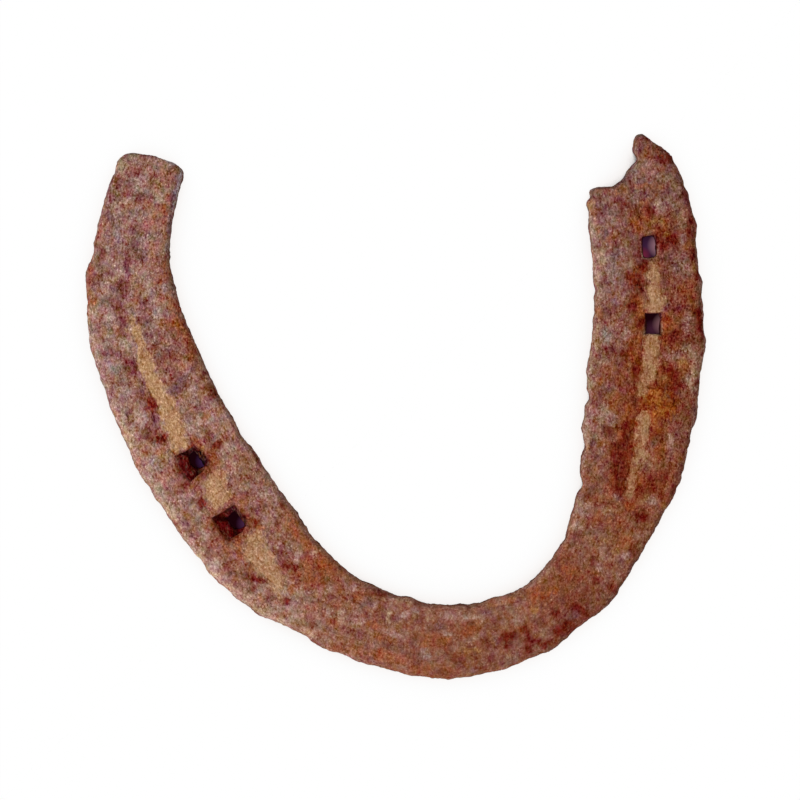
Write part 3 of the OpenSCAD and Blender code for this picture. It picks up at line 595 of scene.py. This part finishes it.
        [68.7, 21, 0.8, 1.2, 0.8], [69, 18.6, 0.8, 1.7, 0.85], [69.5, 15.2, 0.7, 1.2, 0.7],
        [62, 8, 1.3, 0.6, 0.9], [63.4, 6.6, 0.9, 1.2, 0.9], [64, 4.4, 1.6, 0.9, 0.9],
        [61, 4.1, 1.4, 0.8, 0.85], [68.5, 5.1, 0.6, 1, 0.7], [63.4, 0.4, 0.9, 1.5, 0.7],
        [62, -2.2, 1.4, 1.3, 0.8], [61.2, 56.3, 2.2, 1.3, 0.8], [52.5, 46, 1.2, 1.1, 0.6],
        [50, 46.5, 1, 0.9, 0.4], [58, 44.3, 0.9, 1.3, 0.8], [60.5, 37, 1.7, 2, 0.95],
        [63.1, 37.6, 1.3, 1.4, 0.9], [66.8, 40.6, 1, 2.1, 0.7], [67.6, 34.4, 0.8, 1.2, 0.9],
        [68.7, 29.5, 0.9, 1.4, 0.9], [56.2, 32.6, 1.2, 1.3, 0.95], [57, 31, 0.9, 0.8, 0.7],
        [55, 26.7, 1.2, 2.2, 0.95], [53.4, 29, 0.8, 1.2, 0.5], [66.2, 47, 0.9, 2.2, 0.5, 20],
        [-42, -8.5, 0.8, 0.8, 0.3], [65.3, -20, 0.7, 1.4, 0.4, -30],
    ],
    "ochre": [
        [-53.4, 50.5, 1.1, 0.9, 0.6], [-50.2, -10, 1.2, 0.8, 0.6], [-53, -11, 0.8, 1.1, 0.5],
        [-43.4, -9.6, 0.8, 0.7, 0.8], [-46, -18.5, 0.7, 0.6, 0.8], [-34.6, -23.8, 0.9, 0.7, 0.7],
        [17.8, -55.5, 1.4, 0.6, 0.7], [31.5, -46.3, 1.1, 0.9, 0.7], [46.6, -30.8, 0.9, 0.6, 0.5],
        [49.8, -33.4, 1, 0.7, 0.7], [60.8, -22.3, 0.8, 0.9, 0.7], [57, 22.8, 1.3, 0.8, 0.6],
        [65, 10, 0.8, 1.1, 0.6], [61, 6.4, 0.6, 0.6, 0.6], [59, 41.5, 1.5, 0.7, 0.7],
        [61.4, 39, 0.8, 0.8, 0.7], [44.4, 45.6, 0.7, 1.2, 0.7], [32.6, -52, 1.2, 0.7, 0.4],
        [48, -27, 1, 1, 0.3], [56.2, -21.2, 0.9, 1.2, 0.4], [68, 31.5, 0.6, 1, 0.5],
        [-32.6, -30.9, 0.8, 0.6, 0.5],
    ],
}

# colour along the edges: from place, to place, side (1 outer), width, kind, strength
# painted light and shade in these rows: the pale and cream rows on the left branch's outer edge, the lighter
# rows on the inner edge from -98 to 132 and the thin lighter row on the right branch's outer rim are painted
# highlights; the brown row on the inner edge and the brown rows on the right branch's outer edge are painted
# shade
edges = [
    [-122, -98, -1, 1.0, "brown", 0.3], [-98, -20, -1, 0.9, "worn", 0.35], [-24, 24, -1, 0.8, "worn", 0.5],
    [24, 60, -1, 0.9, "worn", 0.4], [60, 132, -1, 0.7, "cream", 0.5], [-88, -70, 1, 2.2, "cream", 0.32],
    [-72, -30, 1, 2.3, "cream", 0.34], [-108, -88, 1, 1.2, "pale", 0.4],
    [-122, -108, 1, 1.0, "orange", 0.4], [-90, -80, 1, 0.6, "brown", 0.8], [-6, 20, 1, 0.9, "orange", 0.3],
    [20, 60, 1, 1.2, "brown", 0.25], [60, 136, 1, 1.2, "brown", 0.2], [60, 136, 1, 0.6, "worn", 0.25],
    [-144, 146, 1, 0.45, "powder", 0.3], [-144, 146, -1, 0.45, "powder", 0.3],
]

# strips of soil and the lump of rust as they show: how full the strip is, then x, y and half width along it
strips = [
    [0.97, (-59.5, 18.9, 1), (-59.2, 17, 1.1), (-58, 14, 1.2), (-56.4, 9.5, 1.5), (-55, 5.2, 1.8),
     (-52.7, 1.8, 1.7), (-51, -3, 1.95), (-49.6, -6, 2.1), (-49, -8.2, 1.7), (-49.4, -10.4, 0.8)],
    [0.82, (-40.4, -14.6, 0.8), (-41, -17, 2.4), (-40.3, -20, 2.7), (-40.2, -22, 1.8), (-40.5, -24.2, 0.8)],
    [0.68, (-31.8, -30, 1.8), (-31.5, -33, 2.8), (-30.3, -35, 2.8), (-28.5, -37, 2.4), (-27.3, -39.5, 2),
     (-26.3, -43, 0.9)],
    [0.85, (58.4, 31, 1.1), (58.7, 28, 1.2), (59, 24, 1.7), (58.8, 21.2, 1.7)],
    [0.74, (58.4, 16, 1.8), (58.2, 12, 1.6), (58.1, 8.4, 1.4), (57.8, 6.2, 1.3)],
    [0.6, (57, 6.5, 1.2), (56.2, 4.4, 0.7), (55.9, 2.2, 0.5)],
    [0.7, (56.4, -3, 1.6), (56.1, -5, 1.4), (55.8, -8, 1), (55.5, -11, 1.2), (54.5, -14, 0.7),
     (53.7, -17, 0.8), (53.2, -21, 0.5)],
]
# where fresh orange rust blooms round the lump
bloom = [[(58.9, 2.6, 2.3), (61, -0.6, 2.5), (59, -2.2, 1.4)]]

# how the painted face is set out
paint = {
    "toneMiddle": (136.4, 86, 68.2),  # the tone that leaves the material's own colours as they are
    "warp": 0.8,
    # grain strength along the bar: places and levels
    "grainPlaces": [-140, -60, -20, 0, 30, 60, 90],
    "grainLevels": [1.2, 1.08, 0.9, 0.67, 0.75, 0.9, 1.05],
    "outside": -9.0,  # stands for well away from any strip, in mm
}


def strokes(flat, rows):
    # how far inside the nearest stroke each point lies, in mm
    inside = np.full(len(flat), paint["outside"])
    for row in rows:
        for (ax, ay, wideA), (bx, by, wideB) in zip(row, row[1:]):
            step = np.array([bx - ax, by - ay])
            t = np.clip(((flat - [ax, ay]) * step).sum(1) / (step ** 2).sum(), 0, 1)
            gap = np.linalg.norm(flat - [ax, ay] - t[:, None] * step, axis=1)
            inside = np.maximum(inside, wideA + (wideB - wideA) * t - gap)
    return inside


class Coat:
    # rust, painted shade and painted light laid over rust: its colour, and how much of the face it hides
    def __init__(self, count):
        self.color = np.zeros((count, 3))
        self.cover = np.zeros(count)

    def lay(self, kind, strength):
        self.color = self.color * (1 - strength)[:, None] + linear(*rust[kind]) * strength[:, None]
        self.cover = self.cover + strength * (1 - self.cover)


def toneOf(flat):
    weight = np.zeros(len(flat))
    tone = np.zeros((len(flat), 3))
    for levels, spread, places in tones.values():
        for place in places:
            pull = np.exp(-((flat - place) ** 2).sum(1) / (2 * spread ** 2)) + 1e-9
            tone += pull[:, None] * linear(*levels)
            weight += pull
    return tone / weight[:, None]


def layEdges(coat, along, across, half, warp, high):
    for start, stop, side, width, kind, strength in edges:
        depth = half - side * across + warp[:, 0] * 0.6
        reach = smoothStep(start - 3, start + 3, along) * (1 - smoothStep(stop - 3, stop + 3, along))
        coat.lay(kind, high * strength * reach * (1 - smoothStep(width * 0.4, width * 1.6, depth)))


def layPatches(coat, warped, high):
    for kind, rows in patches.items():
        for x, y, wide, long, strength, *turn in rows:
            angle = math.radians(turn[0] if turn else 0)
            dx = warped[:, 0] - x
            dy = warped[:, 1] - y
            u = (dx * math.cos(angle) + dy * math.sin(angle)) / wide
            v = (dy * math.cos(angle) - dx * math.sin(angle)) / long
            strength = min(0.97, strength * weights[kind])
            coat.lay(kind, high * strength * (1 - smoothStep(0.55, 1.6, np.hypot(u, v))))


def layHoles(coat, flat, warped, spots, normals, high):
    # dark colour, red oxide and painted shade down the nail holes, and how far each point is in one of them
    inHole = np.zeros(len(flat))
    shiftX, shiftY = iron["stainShift"]
    for x, y, reach, kind in iron["holes"]:
        dx = flat[:, 0] - x
        dy = flat[:, 1] - y
        beside = 1 - smoothStep(reach * 0.8, reach * 1.1, np.hypot(dx, dy))
        deep = beside * (1 - byHeight(spots, 7.2, 7.8)) * byHeight(spots, 0.2, 1.5)
        if kind == "redHole":
            halo = high * (1 - smoothStep(3.2, 5.6, np.hypot(warped[:, 0] - x, warped[:, 1] - y)))
            coat.lay("rimHole", 0.8 * halo)
            core = np.hypot(dx - shiftX, dy - shiftY)
            upper = smoothStep(0.4, 1.6, 0.62 * dx + 0.78 * dy)
            coat.lay("redHole", deep * (1 - 0.25 * byHeight(spots, 6.8, 7.8)))
            # painted shade: near black on the hole's upper side and round its core, where the hole lies in
            # shade
            coat.lay("blackHole", deep * np.maximum(0.75 * upper, 1 - smoothStep(1.6, 2.6, core)))
            inHole = np.maximum(inHole, 0.5 * halo)
        else:
            coat.lay(kind, deep * 0.97)
            lip = beside * byHeight(spots, 7.2, 7.6) * (1 - smoothStep(0.8, 0.97, normals[:, 2]))
            coat.lay("cream", 0.6 * lip * smoothStep(0.3, 1.8, 0.35 * dx - 0.95 * dy))
        inHole = np.maximum(inHole, deep)
    return inHole


def paintFace(mesh, spots, normals):
    # stores the colour of the rust, its patches with the painted shade and light among them, and where soil
    # and fresh rust show
    high = byHeight(spots, 3, 6.5)
    along, across, half = barCoordinates(spots)[:3]
    flat = spots[:, :2] / mm
    warp = drift(spots, 1.7, 21, 2) * paint["warp"]
    warped = flat + warp
    coat = Coat(len(flat))
    layEdges(coat, along, across, half, warp, high)
    layPatches(coat, warped, high)
    inHole = layHoles(coat, flat, warped, spots, normals, high)
    level = np.interp(along, paint["grainPlaces"], paint["grainLevels"])
    # the broad tones carry painted light: lighter on the left, darker on the right
    storeColor(mesh, "broadTone", toneOf(flat) / linear(*paint["toneMiddle"]), level)
    storeColor(mesh, "patch", coat.color / np.maximum(coat.cover, 1e-4)[:, None], coat.cover)
    soilReach = np.full(len(flat), paint["outside"])
    soilFill = np.zeros(len(flat))
    for fill, *row in strips:
        inside = strokes(warped, [row])
        soilFill = np.where(inside > soilReach, fill, soilFill)
        soilReach = np.maximum(soilReach, inside)
    below = paint["outside"] * (1 - high)
    storeField(mesh, "soil", soilReach - 4 * inHole + below)
    storeField(mesh, "soilFill", soilFill)
    storeField(mesh, "bloom", strokes(flat + warp * 1.6, bloom) + below)
    storeField(mesh, "wall", 1 - np.abs(normals[:, 2]))
    storeColor(mesh, "grainLine", np.stack([across, along, spots[:, 2] / mm], 1), np.ones(len(flat)))


class Shader:
    # a material and short ways to add nodes to it
    def __init__(self, name, roughness):
        self.material = bpy.data.materials.new(name)
        self.material.use_nodes = True
        self.nodes = self.material.node_tree.nodes
        self.links = self.material.node_tree.links
        self.surface = self.nodes["Principled BSDF"]
        self.surface.inputs["Roughness"].default_value = roughness
        self.surface.inputs["Specular IOR Level"].default_value = 0.03
        self.place = self.nodes.new("ShaderNodeTexCoord").outputs["Object"]

    def join(self, value, socket):
        if isinstance(value, bpy.types.NodeSocket):
            self.links.new(value, socket)
        else:
            socket.default_value = value

    def noise(self, size, detail=3, roughness=0.6, stretch=(1, 1, 1), seed=0, curl=0.0, where=None):
        mapping = self.nodes.new("ShaderNodeMapping")
        mapping.inputs["Scale"].default_value = stretch
        mapping.inputs["Location"].default_value = (seed * 0.37, seed * 0.53, seed * 0.71)
        self.links.new(where or self.place, mapping.inputs["Vector"])
        pattern = self.nodes.new("ShaderNodeTexNoise")
        pattern.inputs["Scale"].default_value = 1 / (size * mm)
        pattern.inputs["Detail"].default_value = detail
        pattern.inputs["Roughness"].default_value = roughness
        pattern.inputs["Distortion"].default_value = curl
        self.links.new(mapping.outputs["Vector"], pattern.inputs["Vector"])
        return pattern.outputs["Fac"]

    def math(self, operation, a, b=0.0, c=0.0, clamp=False):
        node = self.nodes.new("ShaderNodeMath")
        node.operation = operation
        node.use_clamp = clamp
        for value, socket in zip((a, b, c), node.inputs):
            self.join(value, socket)
        return node.outputs[0]

    def centred(self, pattern):
        return self.math("SUBTRACT", pattern, 0.5)

    def swing(self, pattern, amount):
        # a pattern either side of its middle, times an amount
        return self.math("MULTIPLY", self.centred(pattern), amount)

    def spread(self, value, low, high, first=0.0, last=1.0):
        node = self.nodes.new("ShaderNodeMapRange")
        levels = {"Value": value, "From Min": low, "From Max": high, "To Min": first, "To Max": last}
        for name, level in levels.items():
            self.join(level, node.inputs[name])
        return node.outputs["Result"]

    def ramp(self, value, stops):
        node = self.nodes.new("ShaderNodeValToRGB")
        knots = node.color_ramp.elements
        while len(knots) < len(stops):
            knots.new(0.5)
        for knot, (position, levels) in zip(knots, stops):
            knot.position = position
            knot.color = (*linear(*levels), 1)
        self.links.new(value, node.inputs["Fac"])
        return node.outputs["Color"]

    def mix(self, factor, a, b, blend="MIX"):
        node = self.nodes.new("ShaderNodeMix")
        node.data_type = "RGBA"
        node.blend_type = blend
        self.join(factor, node.inputs["Factor"])
        for value, name in ((a, "A_Color"), (b, "B_Color")):
            socket = next(s for s in node.inputs if s.identifier == name)
            self.join(value if isinstance(value, bpy.types.NodeSocket) else (*linear(*value), 1), socket)
        return next(s for s in node.outputs if s.identifier == "Result_Color")

    def vector(self, operation, a, b, amount=None):
        node = self.nodes.new("ShaderNodeVectorMath")
        node.operation = operation
        self.join(a, node.inputs[0])
        if b is not None:
            self.join(b, node.inputs[1])
        if amount is not None:
            self.join(amount, node.inputs["Scale"])
        return node.outputs[0]

    def nearness(self, x, y, reach):
        # 1 at a place on the ground, falling to 0 at the reach, in mm
        gap = self.nodes.new("ShaderNodeVectorMath")
        gap.operation = "DISTANCE"
        self.links.new(self.place, gap.inputs[0])
        gap.inputs[1].default_value = (x * mm, y * mm, 0)
        return self.spread(gap.outputs["Value"], 0.4 * mm, reach * mm, 1.0, 0.0)

    def lighter(self, color, amounts):
        # lifts each channel by a display step, 100 levels for each unit
        root = self.nodes.new("ShaderNodeGamma")
        root.inputs["Gamma"].default_value = 0.545
        self.links.new(color, root.inputs["Color"])
        step = self.vector("SCALE", self.vector("MULTIPLY", root.outputs["Color"], amounts), None, 0.86)
        return self.vector("MAXIMUM", self.vector("ADD", color, step), (0.002, 0.0005, 0.0005))

    def tint(self, pattern, levels):
        # colour steps that follow a pattern either side of its middle
        return self.vector("SCALE", levels, None, self.centred(pattern))

    def threads(self, size, width, seed):
        # thin curling lines where a pattern crosses its middle, in scattered clumps
        pattern = self.noise(size, 2, 0.5, (1, 0.8, 1), seed, 1.5)
        line = self.spread(self.math("ABSOLUTE", self.centred(pattern)), 0.0, width, 1.0, 0.0)
        clumps = self.spread(self.noise(2.2, 1, 0.5, (1, 1, 1), seed + 1), 0.42, 0.6)
        return self.math("MULTIPLY", line, clumps)

    def field(self, name):
        node = self.nodes.new("ShaderNodeAttribute")
        node.attribute_name = name
        return node

    def finish(self, color, height, depth):
        self.links.new(color, self.surface.inputs["Base Color"])
        relief = self.nodes.new("ShaderNodeBump")
        relief.inputs["Distance"].default_value = depth * mm
        relief.inputs["Strength"].default_value = 1
        self.links.new(height, relief.inputs["Height"])
        self.links.new(relief.outputs["Normal"], self.surface.inputs["Normal"])
        return self.material


def rustMaterial(name, roughness):
    s = Shader(name, roughness)
    line = s.vector("SCALE", s.field("grainLine").outputs["Color"], None, mm)
    dust = s.noise(0.4, 2, 0.6, (1, 0.75, 1), 1, 0.6)
    speck = s.noise(1.0, 1, 0.6, (1, 0.7, 1), 2)
    mottle = s.noise(2.4, 3, 0.7, (1, 0.8, 1), 3)
    hue = s.noise(1.7, 2, 0.7, (1, 0.7, 1), 4)
    streak = s.noise(0.8, 2, 0.6, (1, 0.45, 1), 6)
    grit = s.centred(dust)
    # a cube with a slope: most grains stay faint, and a few stand out
    steep = s.math("MULTIPLY_ADD", grit, s.math("MULTIPLY_ADD", grit, 28.0, 6.5), 1.6)
    grit = s.math("MULTIPLY", grit, steep)
    grit = s.math("ADD", grit, s.swing(speck, 0.3))
    grit = s.math("MULTIPLY_ADD", s.threads(1.0, 0.035, 11), 0.28, grit)
    grit = s.math("MULTIPLY_ADD", s.threads(1.3, 0.03, 14), -0.12, grit)
    tone = s.math("ADD", s.swing(speck, 0.25), s.math("MULTIPLY_ADD", s.centred(mottle), 0.6, 0.5))
    warm = s.ramp(tone, [
        (0.0, (70, 18, 6)), (0.18, (102, 40, 16)), (0.35, (122, 66, 42)), (0.5, (138, 86, 62)),
        (0.64, (152, 105, 84)), (0.8, (178, 138, 118)), (1.0, (218, 190, 172)),
    ])
    cool = s.ramp(tone, [
        (0.0, (66, 18, 20)), (0.18, (98, 40, 40)), (0.35, (118, 67, 59)), (0.5, (136, 88, 74)),
        (0.64, (150, 108, 96)), (0.8, (176, 142, 134)), (1.0, (214, 192, 190)),
    ])
    base = s.mix(s.spread(hue, 0.4, 0.6), warm, cool)
    # broad tones, with their painted light from the left
    base = s.mix(1.0, base, s.field("broadTone").outputs["Color"], "MULTIPLY")
    patch = s.field("patch")
    broken = s.math("MULTIPLY_ADD", mottle, 0.25, s.math("MULTIPLY", dust, 0.3))
    broken = s.spread(s.math("MULTIPLY_ADD", streak, 0.45, broken), 0.4, 0.6, 0.4, 1.6)
    cover = s.math("MULTIPLY", patch.outputs["Alpha"], broken, clamp=True)
    color = s.mix(cover, base, s.lighter(patch.outputs["Color"], s.swing(tone, 0.7)))
    # fresh orange rust, then soil, both with ragged edges
    fresh = s.ramp(s.math("ADD", tone, s.swing(hue, 1.4)), [
        (0.1, (96, 26, 6)), (0.35, (128, 54, 12)), (0.5, (148, 76, 24)), (0.68, (162, 92, 36)),
        (0.9, (182, 122, 70)),
    ])
    reach = s.math("ADD", s.field("bloom").outputs["Fac"], s.swing(streak, 5.0))
    color = s.mix(s.spread(reach, -0.9, 0.9, 0.0, 0.85), color, fresh)
    sand = s.ramp(s.math("ADD", tone, s.swing(hue, 0.8)), [
        (0.1, (150, 100, 66)), (0.35, (170, 124, 88)), (0.5, (181, 138, 101)), (0.7, (190, 150, 112)),
        (0.95, (206, 168, 132)),
    ])
    reach = s.math("ADD", s.field("soil").outputs["Fac"], s.swing(streak, 4.0))
    earth = s.math("MULTIPLY", s.spread(reach, -0.55, 0.65), s.field("soilFill").outputs["Fac"])
    color = s.mix(earth, color, sand)
    # layered scale on the walls, and painted shade that darkens them towards the ground
    strata = s.noise(1.0, 3, 0.6, (0.25, 0.25, 2.2), 5)
    layered = s.ramp(strata, [(0.3, (80, 38, 28)), (0.5, (114, 66, 50)), (0.7, (146, 98, 78))])
    wall = s.spread(s.field("wall").outputs["Fac"], 0.75, 1.0, 0.0, 0.8)
    wall = s.math("MULTIPLY", wall, s.math("SUBTRACT", 1.0, patch.outputs["Alpha"]))
    color = s.mix(wall, color, layered)
    axes = s.nodes.new("ShaderNodeSeparateXYZ")
    s.links.new(s.place, axes.inputs[0])
    # painted shade: the walls darken towards (58, 34, 34) below 4 mm, near the ground
    low = s.spread(axes.outputs["Z"], 0.2 * mm, 4 * mm, 0.5, 0.0)
    low = s.math("MULTIPLY", low, s.field("wall").outputs["Fac"])
    color = s.mix(low, color, (58, 34, 34))
    # fine grain, with shifts between rose and green and between red and blue
    tints = s.vector("ADD", s.tint(s.noise(1.4, 1, 0.5, (1, 0.8, 1), 7), (0.1, -0.26, 0.2)),
                     s.tint(s.noise(2.0, 2, 0.5, (1, 0.8, 1), 8), (0.22, -0.22, -0.32)))
    fibre = s.noise(0.42, 2, 0.6, (1, 0.24, 1), 9, 0.8, line)
    grit = s.math("MULTIPLY_ADD", s.centred(fibre), 0.8, grit)
    grit = s.math("MAXIMUM", s.math("SUBTRACT", grit, 0.05), -0.36)
    plain = s.math("MULTIPLY_ADD", earth, -0.1, 1.0)
    plain = s.math("MULTIPLY", plain, s.field("broadTone").outputs["Alpha"])
    tints = s.vector("SCALE", tints, None, s.math("MULTIPLY_ADD", earth, -0.7, 1.0))
    color = s.lighter(color, s.vector("SCALE", s.vector("ADD", tints, grit), None, plain))
    return s.finish(color, s.math("ADD", tone, grit), 0.10)


def camelName(node):
    first, *rest = node.split("_")
    return first + "".join(word.title() for word in rest)


# soil packed in the creases: growth in mm
soil = {
    "voxel": 0.28 * mm,
    "smoothing": 2,
    "rise": 0.26,
    "clods": 0.1,
    "grains": 0.06,
    "sideways": 1.3,
    "lengthways": 0.35,
    "wander": 0.25,
    # middle of the lump of rust, and the reach from it in which the soil grows towards it
    "lumpPlace": [57.8, 0.9],
    "lumpReach": [5, 7.5],
}


def makeSoil(node):
    piece = denseCopy(node, camelName(node), soil["voxel"], soil["smoothing"])
    spots, normals = readPoints(piece.data)
    spots = shiftPlaces(spots, iron["holeCorners"])
    wander = drift(spots, 2.4, 31, 2) * soil["wander"]
    out = barCoordinates(spots)[3]
    across = (normals[:, :2] * out).sum(1)[:, None] * out
    lumpX, lumpY = soil["lumpPlace"]
    beside = 1 - smoothStep(*soil["lumpReach"], np.hypot(spots[:, 0] / mm - lumpX, spots[:, 1] / mm - lumpY))
    grow = across * soil["sideways"] + (normals[:, :2] - across) * (soil["lengthways"] + beside)[:, None]
    lift = soil["rise"] + soil["clods"] * grain(spots, 1.6, 33, 2)
    lift += soil["grains"] * grain(spots, 0.45, 34, 2)
    spots = spots + np.column_stack([grow + wander, normals[:, 2] * lift]) * mm
    writePoints(piece.data, spots)
    paintFace(piece.data, spots, normals)
    return piece


# the lump of rust: growth in mm, and where its rim starts to sink into the face
lump = {
    "voxel": 0.22 * mm,
    "smoothing": 8,
    "swell": 0.1,
    "spread": 0.9,
    "wander": 0.6,
    "knobs": 0.14,
    "sink": 0.32,
    "rimReach": [2.4, 4.2],
}


def makeLump():
    piece = denseCopy("rust_lump_right", "rustLump", lump["voxel"], lump["smoothing"])
    spots, normals = readPoints(piece.data)
    wander = drift(spots, 2.6, 41, 3) * lump["wander"]
    lift = lump["swell"] + lump["knobs"] * grain(spots, 1.1, 43, 3)
    centre = (spots[:, :2].min(0) + spots[:, :2].max(0)) / 2
    rim = np.linalg.norm(spots[:, :2] - centre, axis=1) / mm
    spots[:, 2] -= lump["sink"] * smoothStep(*lump["rimReach"], rim) * byHeight(spots, 7.5, 8) * mm
    lower = 1 - byHeight(spots, 7.6, 8.2)
    spots = spots + normals * (lift * mm)[:, None]
    spots[:, :2] += (wander + normals[:, :2] * (lump["spread"] * lower)[:, None]) * mm
    writePoints(piece.data, spots)
    paintFace(piece.data, spots, normals)
    return piece


stub = {"voxel": 0.2 * mm, "smoothing": 3, "knobs": 0.1}


def makeStub(node):
    piece = denseCopy(node, camelName(node), stub["voxel"], stub["smoothing"])
    spots, normals = readPoints(piece.data)
    spots = spots + normals * (stub["knobs"] * grain(spots, 0.9, 51, 3) * mm)[:, None]
    spots[:, 2] = np.maximum(spots[:, 2], 0)
    writePoints(piece.data, spots)
    return piece


def stubMaterial():
    s = Shader("rustedNail", 0.85)
    knob = s.noise(0.6, 4, 0.75, (1, 1, 0.5), 9)
    tone = s.math("MULTIPLY_ADD", s.centred(knob), 1.6, 0.5)
    color = s.ramp(tone, [(0.0, (58, 22, 14)), (0.5, (104, 58, 42)), (1.0, (158, 108, 84))])
    return s.finish(color, tone, 0.1)


# the stage: camera, pale floor, sky and one lamp
stage = {
    "faceHeight": 8 * mm,
    "cameraHeight": 1500 * mm,
    "viewWidth": 181.5 * mm,
    "aim": (1.1 * mm, 1.3 * mm),
    # painted light on the ground below the nail holes: x, y, reach and colour
    "glows": [
        [58, 36.2, 4, 60, 32, 60], [60.5, 36.5, 3.1, 158, 116, 124], [56.5, 34.4, 2, 104, 32, 54],
        [58.8, 17.4, 2.4, 60, 28, 44], [61.3, 18.6, 2.8, 132, 92, 96],
        [-43.3, -12.6, 2.4, 60, 34, 74], [-34, -26.9, 2.4, 70, 36, 66],
    ],
    # painted shade: the dark colour given to the ground under the shoe and down the nail holes
    "holeFloor": (26, 3, 9),  # the ground as it looks down a nail hole
    "floorHalf": 3,  # half its side, in metres
    "shadowReach": 12 * mm,
    "skyColor": (1, 0.98, 0.97, 1),
    "skyStrength": 0.46,
    "lampPower": 5.2,
    "lampSize": 0.35,
    "lampPlace": (-0.42, -0.36, 0.62),
}


def addCamera():
    camera = bpy.data.objects.new("camera", bpy.data.cameras.new("camera"))
    bpy.context.scene.collection.objects.link(camera)
    camera.location = (stage["aim"][0], stage["aim"][1], stage["faceHeight"] + stage["cameraHeight"])
    camera.data.lens = camera.data.sensor_width * stage["cameraHeight"] / stage["viewWidth"]
    camera.data.clip_start = 0.01
    bpy.context.scene.camera = camera


def addFloor():
    work = bmesh.new()
    bmesh.ops.create_grid(work, x_segments=1, y_segments=1, size=stage["floorHalf"])
    mesh = bpy.data.meshes.new("floor")
    closeMesh(work, mesh)
    floor = bpy.data.objects.new("floor", mesh)
    bpy.context.scene.collection.objects.link(floor)
    s = Shader("paleFloor", 1.0)
    clear = s.nodes.new("ShaderNodeAmbientOcclusion")
    clear.inputs["Distance"].default_value = stage["shadowReach"]
    beside = s.spread(clear.outputs["AO"], 0.3, 0.42)
    shadow = s.ramp(clear.outputs["AO"], [
        (0.46, (244, 240, 238)), (0.56, (250, 248, 247)), (0.7, (253, 253, 253)), (0.85, (255, 255, 255)),
    ])
    # painted shade on the ground under the shoe and down the nail holes, with painted light below the holes
    deep = stage["holeFloor"]
    for x, y, reach, *levels in stage["glows"]:
        deep = s.mix(s.nearness(x, y, reach), deep, levels)
    color = s.mix(beside, deep, shadow)
    path = s.nodes.new("ShaderNodeLightPath")
    seen = s.math("MAXIMUM", path.outputs["Is Camera Ray"], path.outputs["Is Glossy Ray"])
    seen = s.math("MAXIMUM", seen, path.outputs["Is Transmission Ray"])
    dull = s.mix(seen, s.mix(beside, deep, (222, 222, 222)), (0, 0, 0))
    s.links.new(dull, s.surface.inputs["Base Color"])
    s.links.new(color, s.surface.inputs["Emission Color"])
    s.links.new(seen, s.surface.inputs["Emission Strength"])
    floor.data.materials.append(s.material)


def addLight():
    world = bpy.data.worlds.new("studio")
    bpy.context.scene.world = world
    world.use_nodes = True
    sky = world.node_tree.nodes["Background"]
    sky.inputs["Color"].default_value = stage["skyColor"]
    sky.inputs["Strength"].default_value = stage["skyStrength"]
    lamp = bpy.data.objects.new("lamp", bpy.data.lights.new("lamp", "AREA"))
    bpy.context.scene.collection.objects.link(lamp)
    lamp.data.shape = "DISK"
    lamp.data.size = stage["lampSize"]
    lamp.data.energy = stage["lampPower"]
    lamp.location = stage["lampPlace"]
    lamp.rotation_euler = (-lamp.location).to_track_quat("-Z", "Y").to_euler()


def join(piece, node, material):
    piece.data.materials.append(material)
    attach(piece, "root")
    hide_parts(node)


join(makeIron(), "shoe", rustMaterial("pittedRust", 0.85))
earth = rustMaterial("drySoil", 0.97)
for node in sorted(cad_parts):
    if node.startswith("soil"):
        join(makeSoil(node), node, earth)
print("soil done")
join(makeLump(), "rust_lump_right", rustMaterial("orangeRust", 0.92))
nail = stubMaterial()
for node in ("nail_stub_left", "nail_stub_right"):
    join(makeStub(node), node, nail)
print("lump and stubs done")
addCamera()
addFloor()
addLight()
print("stage done")
bpy.context.scene.view_settings.view_transform = "Standard"
